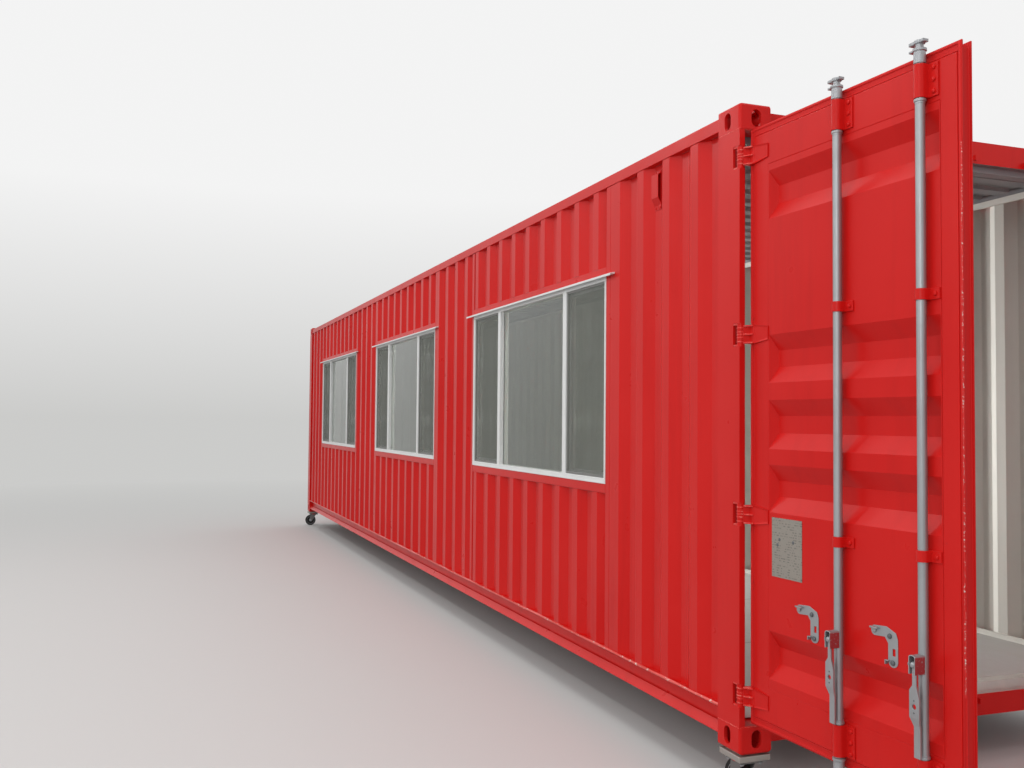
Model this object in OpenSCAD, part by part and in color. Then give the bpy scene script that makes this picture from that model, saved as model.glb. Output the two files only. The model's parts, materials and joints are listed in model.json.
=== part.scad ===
// Shipping container cabin: a forty foot high cube steel container on four
// parked castors, with three framed windows in its long left wall and two
// cargo doors at the +X end. The left door swings on four hinges and carries
// two lock rods with folding handles. The right door stands open and fixed.
// Units are millimetres. +Z is up, +X is the door end, -Y the windowed wall.

/* [Container] */
// Length over the corner castings
body_length = 12192; // [5890:1:12192]
// Width over the corner castings
body_width = 2438; // [2200:1:2600]
// Height over the corner castings
body_height = 2896; // [2591:1:2896]
// Thickness of the wall, roof and door sheet
sheet = 2; // [1.6:0.1:4]
// Setback of the wall's outer flats from the castings' side faces
wall_inset = 10; // [6:1:20]

/* [Castings] */
// Length of a corner casting
casting_length = 178; // [150:1:200]
// Width of a corner casting
casting_width = 162; // [140:1:180]
// Height of a corner casting
casting_height = 118; // [100:1:130]
// Wall thickness of a corner casting
casting_wall = 18; // [12:1:28]
// Length of the slot in a casting's top or bottom face
slot_length = 124; // [100:1:130]
// Width of the slot in a casting's top or bottom face
slot_width = 63; // [50:1:70]
// Distance of a casting's side hole and slots from its end face
hole_from_end = 101; // [85:1:105]
// Distance of a casting's end hole from its side face
hole_from_side = 86; // [80:1:92]
// Distance of the side and end holes from a casting's outer face
hole_from_face = 64; // [55:1:66]
// Height of the hole in a casting's side and end faces
hole_height = 79; // [60:1:90]
// Width of the hole in a casting's side and end faces
hole_width = 51; // [40:1:60]

/* [Side corrugation] */
// Width of an outer flat
wave_out = 72; // [60:1:120]
// Width of an inner flat
wave_in = 70; // [60:1:120]
// Run of a slope along the wall
wave_slope = 68.5; // [40:0.5:90]
// Depth of the corrugation
wave_depth = 36; // [20:1:45]
// Position of the left edge of one outer flat
wave_start = 4812; // [4700:1:4900]

/* [End corrugation] */
// Width of an outer flat of the blind end wall
end_out = 110; // [80:1:130]
// Width of an inner flat of the blind end wall
end_in = 104; // [80:1:130]
// Run of a slope of the blind end wall
end_slope = 18; // [12:1:40]
// Depth of the blind end wall's corrugation
end_depth = 45; // [30:1:50]

/* [Roof and floor] */
// Depth of the roof sheet's underside below the castings' tops
roof_drop = 26; // [16:1:40]
// Distance between neighbouring roof troughs
roof_pitch = 209; // [180:1:240]
// Depth of a roof trough
roof_depth = 20; // [12:1:30]
// Run of a roof trough's slope
roof_slope = 13.5; // [10:0.5:30]
// Setback of the roof sheet from the rails' side faces
roof_setback = 12; // [8:1:20]
// Overlap of the corrugated roof field and its edge strips
roof_lap = 20; // [10:1:30]
// Level of the floor's upper surface
floor_level = 172; // [150:1:190]
// Width of a cross member's flanges
cross_flange = 45; // [35:1:60]
// Width of the tie plate that runs along the cross members' middles
tie_width = 176; // [100:1:240]
// Thickness of the plywood floor
floor_board = 28; // [21:1:35]
// Height of a cross member under the floor
cross_height = 118; // [90:1:130]
// Distance between neighbouring cross members
cross_pitch = 305; // [250:1:400]
// Plate thickness of cross members and bottom rails
channel_wall = 5; // [4:0.5:8]

/* [Rails and posts] */
// Size of the square top side rail
top_rail = 60; // [50:1:80]
// Setback of the rails' side faces from the castings' side faces
rail_inset = 6; // [4:1:10]
// Level of the bottom side rail's underside
bottom_rail_low = 48; // [30:1:60]
// Depth of the bottom side rail's flanges
bottom_rail_flange = 48; // [40:1:60]
// Thickness of a door post's side plate and front lip stock
post_plate = 12; // [8:1:14]
// Width of the door post's front lip
post_lip = 28; // [24:1:40]
// Width of the door post's inner box across the container
post_box_width = 100; // [90:1:110]
// Setback of the door post's sealing face from the castings' end faces
seal_inset = 111; // [105:1:120]
// Cover of the sealing strips over a door's gasket
seal_cover = 27; // [20:1:35]
// Plate thickness of a blind end post
end_post_plate = 6; // [4:1:8]
// Depth of the beams at the top and bottom of the blind end
end_beam = 60; // [50:1:80]

/* [Windows] */
// Number of windows in the left wall
window_count = 3; // [1:1:3]
// Centre of the window nearest to the doors
window_centre = 3493; // [3300:1:3700]
// Distance between window centres
window_pitch = 3578; // [3300:1:3700]
// Width of a window opening
window_width = 2438; // [1800:1:2500]
// Lower edge of a window opening
window_low = 1100; // [900:1:1200]
// Height of a window opening
window_height = 1195; // [900:1:1300]
// Size of the square steel tube round a window
window_tube = 54; // [40:1:60]
// Face width of a window frame's jambs and head
frame_bar = 24; // [20:1:60]
// Face width of a window frame's sill
frame_sill = 32; // [24:1:70]
// Face width of a mullion
mullion = 52; // [40:1:80]
// Depth of a window frame
frame_depth = 82; // [60:1:100]
// Width of a side light between frame and mullion centre
side_light = 605; // [500:1:700]
// Face width of a sliding sash bar
sash_bar = 34; // [25:1:45]
// Thickness of a glazing unit
glass_thick = 18; // [4:1:24]
// Reach of the drip cap beyond the outer flats
drip_reach = 30; // [20:1:90]
// Reach of the drip cap past each side of its window
drip_end = 112; // [60:1:140]
// Height of a ventilator cover
vent_height = 207; // [150:1:240]
// Reach of a ventilator cover beyond the sheet
vent_reach = 25; // [20:1:60]
// Depth of a ventilator's lower edge below the castings' tops
vent_drop = 323; // [300:1:400]

/* [Doors] */
// Opening angle of both doors as drawn
open_angle = 87.5; // [0:0.5:90]
// Distance of a hinge pin from the castings' end faces
pin_inset_end = 20; // [16:1:30]
// Distance of a hinge pin from the castings' side faces
pin_inset_side = 18; // [16:1:30]
// Radius of a hinge pin
pin_radius = 9; // [7:0.5:11]
// Radius of a hinge knuckle
knuckle_radius = 17; // [14:0.5:20]
// Half height of a hinge knuckle
knuckle_half = 20; // [15:1:25]
// Half height of the notch that a hinge swings in
notch_half = 51; // [46:1:60]
// Recess of a door's outer face behind its pins
leaf_recess = 30; // [26:1:40]
// Thickness of a door
leaf_thick = 50; // [40:1:60]
// Lower edge of a door's gasket
leaf_low = 138; // [134:1:150]
// Depth of a door's top gasket below the castings' tops
leaf_drop = 124; // [123:1:140]
// Gap between pin and the near edge of a door's gasket
leaf_start = 23; // [20:1:30]
// Width of a door over its gaskets
leaf_width = 1175; // [1000:1:1176]
// Width of the gasket strip on the hinge side
gasket_side = 35; // [20:1:40]
// Width of the gasket strip on the closing side
gasket_centre = 16; // [12:1:40]
// Width of the gasket strips at top and bottom
gasket_end = 40; // [30:1:45]
// Width of the hinge stile
stile_hinge = 98; // [80:1:110]
// Width of the closing stile
stile_close = 74; // [60:1:90]
// Height of the top and bottom rails of a door
leaf_rail = 146; // [120:1:160]
// Depth of a door trough
trough_depth = 36; // [20:1:42]
// Slope of a door trough's sides and ends
trough_slope = 68; // [50:1:80]
// Run of a door trough's end slope
trough_end = 24; // [20:1:60]
// Margin between a trough's ends and the stiles
trough_margin = 4; // [3:1:10]
// Level of the lowest hinge
hinge_low = 260; // [250:1:400]
// Level of the second hinge
hinge_second = 1054; // [900:1:1200]
// Depth of the third hinge below the castings' tops
hinge_third = 1046; // [900:1:1200]
// Depth of the highest hinge below the castings' tops
hinge_high = 246; // [230:1:400]
// Reach of a hinge blade along the door
blade_reach = 158; // [120:1:170]
// Half height of a hinge blade at its root
blade_half = 42; // [35:1:42]
// Half height of a hinge blade at its tip
blade_tip = 30; // [20:1:35]
// Thickness of a hinge blade
blade_thick = 10; // [8:1:12]
// Near edge of the data plate
plate_at = 182; // [170:1:240]
// Width of the data plate
plate_width = 194; // [150:1:220]
// Height of the data plate
plate_height = 250; // [150:1:260]
// Lower edge of the data plate
plate_low = 806; // [780:1:812]

/* [Lock gear] */
// Radius of a lock rod
rod_radius = 17; // [14:0.5:21]
// Recess of a lock rod's axis behind the hinge pins
rod_recess = 4; // [4:1:12]
// Distance of the inner lock rod from the hinge pins
rod_inner_at = 619; // [560:1:640]
// Distance of the outer lock rod from the hinge pins
rod_outer_at = 1043; // [1000:1:1056]
// Lower end of a lock rod
rod_low = 92; // [90:1:120]
// Depth of a lock rod's upper end below the castings' tops
rod_drop = 82; // [80:1:100]
// Reach of a lock rod's collar beyond the rod
collar = 3; // [2:0.5:5]
// Level of the lowest rod bracket's lower end
bracket_low = 185; // [170:1:300]
// Level of the second rod bracket's lower end
bracket_second = 982; // [800:1:1100]
// Depth of the third rod bracket's lower end below the castings' tops
bracket_third = 1003; // [900:1:1200]
// Depth of the highest rod bracket's lower end below the castings' tops
bracket_high = 290; // [280:1:400]
// Height of a tall rod bracket
bracket_tall = 121; // [80:1:130]
// Height of a short rod bracket
bracket_short = 40; // [30:1:60]
// Thickness of a rod bracket's cover
bracket_cover = 5; // [4:0.5:8]
// Width of a rod bracket's bolted flange
bracket_flange = 44; // [40:1:50]
// Level of the handles' pivots
pivot_level = 632; // [500:1:800]
// Distance of a handle's pivot from its rod's axis
pivot_reach = 45; // [40:1:60]
// Length of a handle from its pivot
handle_length = 318; // [300:1:339]
// Thickness of a handle
handle_thick = 8; // [6:1:8]
// Half width of a handle's middle
handle_half = 22; // [18:1:24]
// Set of a handle's grip towards the door
handle_set = 11; // [6:1:12]
// Distance of a retainer's tongue from its rod
retainer_at = 166; // [150:1:180]
// Level of the lower end of a retainer
retainer_low = 577; // [560:1:600]
// Thickness of a retainer
retainer_thick = 3; // [2:0.5:4]

/* [Stand] */
// Height of the castings' bottoms above the ground
stand_height = 220; // [200:1:260]
// Gap between a casting and the thick plate of its castor
caster_gap = 7; // [4:1:10]
// Thickness of a castor's thick plate
caster_plate = 26; // [15:1:28]
// Diameter of a castor wheel
wheel_diameter = 160; // [125:1:180]
// Width of a castor wheel
wheel_width = 50; // [40:1:60]
// Trail of a castor wheel behind its plate
wheel_trail = 45; // [30:1:60]
// Swivel of the castors at the closed end
far_swivel = 84; // [0:1:90]

/* [Hidden] */
$fn = 48;
half_length = body_length / 2;
half_width = body_width / 2;
inner_length = half_length - casting_length;
wall_face = half_width - wall_inset;
rail_face = half_width - rail_inset;
post_low = casting_height;
post_high = body_height - casting_height;
roof_level = body_height - roof_drop;
rail_low = roof_level - top_rail;
bottom_rail_high = floor_level;
side_wave = [wave_out, wave_slope, wave_in, wave_depth];
end_wave = [end_out, end_slope, end_in, end_depth];
wave_pitch = wave_out + wave_in + 2 * wave_slope;
seal_x = half_length - seal_inset;
post_front = half_length - 4;
casting_gap = half_width - casting_width;
cam_face = half_length - 76;
beam_face = end_post_plate - half_length;
window_high = window_low + window_height;
light_width = side_light - frame_bar - mullion / 2;
light_height = window_height - frame_bar - frame_sill;
pin_x = half_length - pin_inset_end;
pin_y = half_width - pin_inset_side;
hinge_levels = [hinge_low, hinge_second, body_height - hinge_third, body_height - hinge_high];
leaf_high = body_height - leaf_drop;
leaf_end = leaf_start + leaf_width;
frame_start = leaf_start + gasket_side;
frame_end = leaf_end - gasket_centre;
frame_low = leaf_low + gasket_end;
frame_high = leaf_high - gasket_end;
panel_start = frame_start + stile_hinge;
panel_end = frame_end - stile_close;
panel_low = frame_low + leaf_rail;
panel_high = frame_high - leaf_rail;
leaf_inner = leaf_recess + leaf_thick;
panel_height = panel_high - panel_low;
trough_shares = [[0.018, 0.109], [0.332, 0.422], [0.452, 0.545], [0.578, 0.67], [0.893, 0.987]];
troughs = [for (t = trough_shares) [panel_low + t[0] * panel_height, panel_low + t[1] * panel_height]];
bracket_levels = [
  [bracket_low, bracket_tall],
  [bracket_second, bracket_short],
  [body_height - bracket_third, bracket_short],
  [body_height - bracket_high, bracket_tall]
];
rod_length = body_height - rod_drop - rod_low;
clevis_shift = 4;
clevis_gap = 10;
clevis_plate = 5;
row_shift = (pin_x + leaf_end * sin(open_angle) - half_length) / 2;
window_ends = [for (k = [0:window_count - 1]) window_centre - k * window_pitch];
red = [0.74, 0.13, 0.11];
white = [0.93, 0.93, 0.92];
zinc = [0.62, 0.63, 0.63];
black = [0.1, 0.1, 0.1];
wood = [0.55, 0.38, 0.22];
clear = [0.55, 0.62, 0.6];

// Moves a part from the container's own middle to the shared frame.
module placed() {
  translate([-row_shift, 0, stand_height])
    children();
}

// A box given by its low and high corner.
module span(low, high) {
  translate(low)
    cube(high - low);
}

// A plate whose outline lies in a plane of X and Z, with its -Y face at y.
module upright(y, depth) {
  translate([0, y + depth, 0])
    rotate([90, 0, 0])
      linear_extrude(depth)
        children();
}

// Depth of a corrugation at a place along the wall.
function dip(w, t) =
  t < w[0] ? 0 :
  t < w[0] + w[1] ? w[3] * (t - w[0]) / w[1] :
  t < w[0] + w[1] + w[2] ? w[3] :
  w[3] * (w[0] + 2 * w[1] + w[2] - t) / w[1];

// Bend lines of a corrugation between two places.
function bends(w, start, a, b) =
  let (pitch = w[0] + w[2] + 2 * w[1], first = floor((a - start) / pitch), last = ceil((b - start) / pitch))
  concat([a], [
    for (k = [first:last])
      for (o = [0, w[0], w[0] + w[1], pitch - w[1]])
        let (x = start + k * pitch + o)
          if (x > a + 1 && x < b - 1) x
  ], [b]);

// Section of a corrugated sheet: outer line, then the inner line backwards.
function wave_section(w, start, a, b) =
  let (
    pitch = w[0] + w[2] + 2 * w[1],
    line = [
      for (x = bends(w, start, a, b))
        let (t = x - start - pitch * floor((x - start) / pitch))
          [x, dip(w, t)]
    ],
    count = len(line)
  )
  concat(line, [for (k = [1:count]) [line[count - k][0], line[count - k][1] + sheet]]);

// Corrugated sheet of the left wall between two places and two levels.
module side_sheet(a, b, low, high) {
  translate([0, -wall_face, low])
    linear_extrude(high - low)
      polygon(wave_section(side_wave, wave_start, a, b));
}

// A long round-ended hole through a casting wall.
module slot(length, width, depth) {
  for (side = [-1, 1])
    translate([0, side * (length - width) / 2, 0])
      cylinder(d = width, h = depth);
  translate([-width / 2, -(length - width) / 2, 0])
    cube([width, length - width, depth]);
}

// One hollow corner casting in the corner of +X, +Y and +Z.
module corner_casting() {
  mid = [half_length - hole_from_end, half_width - hole_from_side, body_height - hole_from_face];
  difference() {
    span([inner_length, half_width - casting_width, post_high], [half_length, half_width, body_height]);
    span([inner_length + casting_wall, half_width - casting_width + casting_wall, post_high + casting_wall],
      [half_length - casting_wall, half_width - casting_wall, body_height - casting_wall]);
    translate([mid[0], mid[1], mid[2]])
      rotate([0, 0, 90])
        slot(slot_length, slot_width, casting_height);
    translate(mid)
      rotate([0, 90, 0])
        rotate([0, 0, 90])
          slot(hole_height, hole_width, casting_length);
    translate(mid)
      rotate([-90, 0, 0])
        slot(hole_height, hole_width, casting_width);
  }
}

// Repeats a corner piece of +X and +Y at all four corners.
module corners() {
  for (mx = [0, 1])
    for (my = [0, 1])
      mirror([mx, 0, 0])
        mirror([0, my, 0])
          children();
}

module corner_castings() {
  color(red)
    placed()
      for (mz = [0, 1])
        translate([0, 0, mz * body_height])
          mirror([0, 0, mz])
            corners()
              corner_casting();
}

// Door post of the +Y side, with the fixed halves of four hinges.
module door_post() {
  plate_y = half_width - post_plate;
  difference() {
    union() {
      span([inner_length, plate_y, post_low], [post_front, half_width, post_high]);
      span([post_front - post_lip, half_width - post_lip, post_low], [post_front, half_width, post_high]);
      span([inner_length, half_width - post_box_width, post_low], [seal_x, half_width, post_high]);
    }
    for (level = hinge_levels)
      span([pin_x - 36, half_width - post_lip - 1, level - notch_half],
        [half_length, half_width + 1, level + notch_half]);
    span([inner_length + 6, half_width - post_box_width + 6, post_low - 1],
      [seal_x - 6, half_width - post_plate, post_high + 1]);
  }
  for (level = hinge_levels) {
    translate([pin_x, pin_y, level - notch_half - 10])
      cylinder(r = pin_radius, h = 2 * notch_half + 20);
    for (side = [-1, 1])
      translate([pin_x, pin_y, level + side * (knuckle_half + notch_half + 10.5) / 2])
        cylinder(r = knuckle_radius, h = notch_half + 9.5 - knuckle_half, center = true);
  }
}

module door_post_left() {
  color(red)
    placed()
      mirror([0, 1, 0])
        door_post();
}

module door_post_right() {
  color(red)
    placed()
      door_post();
}

module front_posts() {
  color(red)
    placed()
      for (my = [0, 1])
        mirror([0, my, 0])
          translate([-half_length, 0, post_low])
            linear_extrude(post_high - post_low)
              polygon([
                [0, casting_gap],
                [0, half_width],
                [casting_length, half_width],
                [casting_length, half_width - end_post_plate],
                [end_post_plate, half_width - end_post_plate],
                [end_post_plate, casting_gap]
              ]);
}

// Square top rail of the +Y side.
module top_side_rail() {
  difference() {
    span([-inner_length, rail_face - top_rail, rail_low], [inner_length, rail_face, roof_level]);
    span([-inner_length - 1, rail_face - top_rail + 4, rail_low + 4],
      [inner_length + 1, rail_face - 4, roof_level - 4]);
  }
}

module top_rails() {
  color(red)
    placed()
      for (my = [0, 1])
        mirror([0, my, 0])
          top_side_rail();
}

// Channel shaped bottom rail of the +Y side, open to the outside.
module bottom_side_rail() {
  rotate([90, 0, 90])
    translate([0, 0, -inner_length])
      linear_extrude(2 * inner_length)
        polygon([
          [rail_face, bottom_rail_high],
          [rail_face, bottom_rail_high - channel_wall],
          [rail_face - bottom_rail_flange + channel_wall, bottom_rail_high - channel_wall],
          [rail_face - bottom_rail_flange + channel_wall, bottom_rail_low + channel_wall],
          [rail_face, bottom_rail_low + channel_wall],
          [rail_face, bottom_rail_low],
          [rail_face - bottom_rail_flange, bottom_rail_low],
          [rail_face - bottom_rail_flange, bottom_rail_high]
        ]);
}

module bottom_rails() {
  color(red)
    placed()
      for (my = [0, 1])
        mirror([0, my, 0])
          bottom_side_rail();
}

module door_header() {
  color(red)
    placed() {
      span([inner_length, -casting_gap, post_high], [cam_face, casting_gap, body_height - 6]);
      span([inner_length, post_box_width - half_width, leaf_high - seal_cover],
        [seal_x, half_width - post_box_width, post_high]);
      keepers(post_high + 8);
    }
}

module door_sill() {
  color(red)
    placed() {
      span([inner_length, -casting_gap, 20], [cam_face, casting_gap, leaf_low - 12]);
      span([inner_length, post_box_width - half_width, leaf_low - 12],
        [seal_x, half_width - post_box_width, floor_level]);
      keepers(rod_low - 6);
    }
}

// Pairs of lugs that a rod's cam turns in between.
module keepers(level) {
  for (my = [-1, 1])
    for (at = [rod_inner_at, rod_outer_at])
      for (side = [-1, 1])
        span([cam_face, my * (pin_y - at) + side * 38 - 6, level],
          [pin_x - rod_recess - 20, my * (pin_y - at) + side * 38 + 6, level + 26]);
}

module front_beams() {
  color(red)
    placed()
      for (level = [[rail_low, roof_level], [20, floor_level]])
        span([beam_face, -casting_gap, level[0]], [beam_face + end_beam, casting_gap, level[1]]);
}

module cross_members() {
  half = rail_face - bottom_rail_flange;
  low = floor_level - floor_board - cross_height;
  count = floor((2 * inner_length - cross_pitch) / cross_pitch);
  color(red)
    placed() {
      for (k = [0:count])
        translate([(k - count / 2) * cross_pitch, half, low])
          rotate([90, 0, 0])
            linear_extrude(2 * half)
              polygon([
                [0, 0],
                [0, cross_height],
                [cross_flange, cross_height],
                [cross_flange, cross_height - channel_wall],
                [channel_wall, cross_height - channel_wall],
                [channel_wall, channel_wall],
                [cross_flange, channel_wall],
                [cross_flange, 0]
              ]);
      span([-count / 2 * cross_pitch, -tie_width / 2, floor_level - floor_board - channel_wall - 4],
        [count / 2 * cross_pitch + cross_flange, tie_width / 2, floor_level - floor_board - channel_wall]);
    }
}

module floor_boards() {
  half = rail_face - bottom_rail_flange;
  color(wood)
    placed()
      span([beam_face + end_beam, -half, floor_level - floor_board], [inner_length, half, floor_level]);
}

module roof() {
  field = rail_face - top_rail - roof_lap;
  low = -inner_length;
  high = inner_length;
  count = floor((high - low - 40) / roof_pitch);
  margin = (high - low - count * roof_pitch) / 2;
  flat = roof_pitch / 2 - roof_slope;
  dent = flat / 2 + roof_slope;
  section = concat([[low, 0]], [
      for (k = [0:count - 1])
        for (p = [[flat / 2, 0], [dent, roof_depth], [dent + flat, roof_depth], [roof_pitch - flat / 2, 0]])
          [low + margin + k * roof_pitch + p[0], -p[1]]
    ], [[high, 0]]);
  last = len(section);
  top = [for (k = [1:last]) section[last - k] + [0, sheet]];
  color(red)
    placed()
      translate([0, 0, roof_level]) {
        upright(-field, 2 * field)
          polygon(concat(section, top));
        for (my = [0, 1])
          mirror([0, my, 0]) {
            upright(field - sheet, sheet)
              polygon(concat(section, [[high, sheet], [low, sheet]]));
            span([low, field - 2 * sheet, 0], [high, rail_face - roof_setback, sheet]);
          }
        span([beam_face, -casting_gap, 0], [low, casting_gap, sheet]);
      }
}

module front_wall() {
  color(red)
    placed()
      translate([beam_face + 4, 0, floor_level])
        linear_extrude(rail_low - floor_level)
          rotate(90)
            mirror([0, 1, 0])
              polygon(wave_section(end_wave, -end_out / 2, -casting_gap, casting_gap));
}

module side_wall_right() {
  color(red)
    placed()
      mirror([0, 1, 0])
        side_sheet(-inner_length, inner_length, floor_level, rail_low);
}

module side_wall_left_piers() {
  edges = concat([inner_length], [
      for (x = window_ends)
        for (side = [1, -1])
          x + side * (window_width / 2 + window_tube)
    ], [-inner_length]);
  color(red)
    placed()
      for (k = [0:window_count])
        side_sheet(edges[2 * k + 1], edges[2 * k], floor_level, rail_low);
}

module side_wall_left_heads() {
  color(red)
    placed()
      for (x = window_ends)
        side_sheet(x - window_width / 2, x + window_width / 2, window_high + window_tube, rail_low);
}

module side_wall_left_sills() {
  color(red)
    placed()
      for (x = window_ends)
        side_sheet(x - window_width / 2, x + window_width / 2, floor_level, window_low - window_tube);
}

module window_posts() {
  color(red)
    placed()
      for (x = window_ends)
        for (side = [-1, 1])
          translate([x + side * (window_width + window_tube) / 2 - window_tube / 2, -wall_face, floor_level])
            cube([window_tube, window_tube, rail_low - floor_level]);
}

module window_rails() {
  color(red)
    placed()
      for (x = window_ends)
        for (level = [window_low - window_tube, window_high])
          translate([x - window_width / 2, -wall_face, level])
            cube([window_width, window_tube, window_tube]);
}

// Outline of one window frame with its two mullions.
module window_outline() {
  edges = [frame_bar, side_light, window_width - side_light, window_width - frame_bar];
  difference() {
    square([window_width, window_height]);
    for (k = [0:2])
      translate([edges[k] + (k > 0 ? mullion / 2 : 0), frame_sill])
        square([edges[k + 1] - edges[k] - mullion / (k == 1 ? 1 : 2), light_height]);
  }
}

module window_frames() {
  color(white)
    placed()
      for (x = window_ends)
        translate([x - window_width / 2, 0, window_low])
          upright(-wall_face, frame_depth)
            window_outline();
}

// Places a piece in the left and right light of each window.
module side_lights() {
  for (x = window_ends)
    for (side = [0, 1])
      translate([x, 0, 0])
        mirror([side, 0, 0])
          translate([-window_width / 2 + frame_bar, 0, window_low + frame_sill])
            children();
}

module window_sashes() {
  color(white)
    placed()
      side_lights()
        upright(-wall_face + 22, 36)
          difference() {
            square([light_width, light_height]);
            translate([sash_bar, sash_bar])
              square([light_width - 2 * sash_bar, light_height - 2 * sash_bar]);
          }
}

module window_glass() {
  middle = window_width - 2 * side_light - mullion;
  color(clear)
    placed() {
      side_lights()
        translate([sash_bar, 0, sash_bar])
          upright(-wall_face + 31, glass_thick)
            square([light_width - 2 * sash_bar, light_height - 2 * sash_bar]);
      for (x = window_ends)
        translate([x - middle / 2, -wall_face + 31, window_low + frame_sill])
          cube([middle, glass_thick, light_height]);
    }
}

module window_screens() {
  color(black)
    placed()
      side_lights()
        upright(-wall_face + 10, 12)
          square([light_width, light_height]);
}

module drip_caps() {
  color(white)
    placed()
      for (x = window_ends)
        translate([x - window_width / 2 - drip_end, 0, window_high])
          rotate([90, 0, 90])
            linear_extrude(window_width + 2 * drip_end)
              polygon([
                [-wall_face, 0],
                [-wall_face, 12],
                [-wall_face - drip_reach, 5],
                [-wall_face - drip_reach, -8],
                [3 - wall_face - drip_reach, -8],
                [3 - wall_face - drip_reach, 0]
              ]);
}

module ventilators() {
  face = wall_face - wave_depth;
  color(red)
    placed()
      for (k = [1, -37])
        mirror([0, k < 0 ? 1 : 0, 0])
          translate([wave_start + k * wave_pitch + wave_out + wave_slope, 0, body_height - vent_drop])
            rotate([90, 0, 90])
              linear_extrude(wave_in)
                polygon([
                  [-face, 0],
                  [-face, vent_height],
                  [-face - 3, vent_height],
                  [-face - 3, 0.93 * vent_height],
                  [-face - vent_reach, 0.9 * vent_height],
                  [-face - vent_reach, 0.3 * vent_height],
                  [-face - 3, 0.12 * vent_height],
                  [-face - 3, 0]
                ]);
}

// Steel brackets that carry the castors under the bottom castings.
module caster_brackets() {
  color(zinc)
    placed()
      corners() {
        span([inner_length + 30, half_width - casting_width + 20, -caster_gap],
          [half_length - 24, half_width - 20, 0]);
        span([inner_length + 12, half_width - casting_width + 4, -caster_plate - caster_gap],
          [half_length, half_width, -caster_gap]);
        span([inner_length + 40, half_width - casting_width + 20, -40],
          [half_length - 30, half_width - 20, -caster_plate - caster_gap]);
      }
}

caster_x = half_length - casting_length / 2;
caster_y = half_width - casting_width / 2;
axle_level = wheel_diameter / 2 - stand_height;

// Places a castor, drawn round its swivel, under all four castings.
module castors() {
  for (my = [0, 1])
    mirror([0, my, 0]) {
      translate([caster_x, caster_y, 0])
        children();
      translate([-caster_x, caster_y, 0])
        rotate([0, 0, -far_swivel])
          children();
    }
}

module caster_forks() {
  color(zinc)
    placed()
      castors() {
        translate([-60, -55, -50])
          cube([120, 110, 10]);
        for (side = [-1, 1])
          translate([0, side * (wheel_width / 2 + 9) - 3, 0])
            rotate([90, 0, 0])
              translate([0, 0, -6])
                linear_extrude(6)
                  polygon([
                    [-50, -50],
                    [40, -50],
                    [18 - wheel_trail, axle_level - 18],
                    [-18 - wheel_trail, axle_level - 18]
                  ]);
        translate([-wheel_trail, 0, axle_level])
          rotate([90, 0, 0])
            cylinder(r = 8, h = wheel_width + 34, center = true);
      }
}

module caster_wheels() {
  color(black)
    placed()
      castors()
        translate([-wheel_trail, 0, axle_level])
          rotate([90, 0, 0])
            difference() {
              cylinder(d = wheel_diameter, h = wheel_width, center = true);
              cylinder(r = 8, h = wheel_width + 2, center = true);
            }
}

// Puts a door's piece, drawn in the closed door's own axes, on the open door.
// There X is the way out of the container and Y the way from hinge to edge.
module on_leaf() {
  placed()
    translate([pin_x, -pin_y, 0])
      rotate([0, 0, -open_angle])
        children();
}

// The same for the mirrored door of the right side.
module on_right_leaf() {
  placed()
    mirror([0, 1, 0])
      translate([pin_x, -pin_y, 0])
        rotate([0, 0, -open_angle])
          children();
}

module leaf_frame() {
  difference() {
    span([-leaf_inner, frame_start, frame_low], [-leaf_recess, frame_end, frame_high]);
    span([-leaf_inner - 1, panel_start, panel_low], [-leaf_recess + 1, panel_end, panel_high]);
  }
}

// Slanted block of one trough, grown by a margin on every sloping side.
module trough_block(low, high, grow) {
  deep = trough_depth + grow;
  intersection() {
    upright(panel_start, panel_end - panel_start)
      polygon([
        [0, low - grow],
        [-deep, low + trough_slope - grow],
        [-deep, high - trough_slope + grow],
        [0, high + grow]
      ]);
    translate([0, 0, low - 10])
      linear_extrude(high - low + 20)
        polygon([
          [0, panel_start + trough_margin - grow],
          [-deep, panel_start + trough_margin + trough_end - grow],
          [-deep, panel_end - trough_margin - trough_end + grow],
          [0, panel_end - trough_margin + grow]
        ]);
  }
}

module leaf_panel() {
  difference() {
    union() {
      span([-leaf_recess - sheet, panel_start, panel_low], [-leaf_recess, panel_end, panel_high]);
      for (t = troughs)
        translate([-leaf_recess, 0, 0])
          trough_block(t[0], t[1], sheet);
    }
    for (t = troughs)
      translate([-leaf_recess, 0, 0])
        trough_block(t[0], t[1], 0);
  }
}

// One ring of the gasket between two depths, reaching past the frame by a share.
module gasket_ring(deep, shallow, share) {
  difference() {
    span([-deep, frame_start - share * gasket_side, frame_low - share * gasket_end],
      [-shallow, frame_end + share * gasket_centre, frame_high + share * gasket_end]);
    span([-deep - 1, frame_start, frame_low], [-shallow + 1, frame_end, frame_high]);
  }
}

module leaf_gasket() {
  gasket_ring(leaf_inner + 4, leaf_recess + 6, 0.4);
  gasket_ring(leaf_inner + 4, leaf_inner - 2, 1);
  gasket_ring(leaf_recess + 12, leaf_recess + 6, 1);
}

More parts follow.
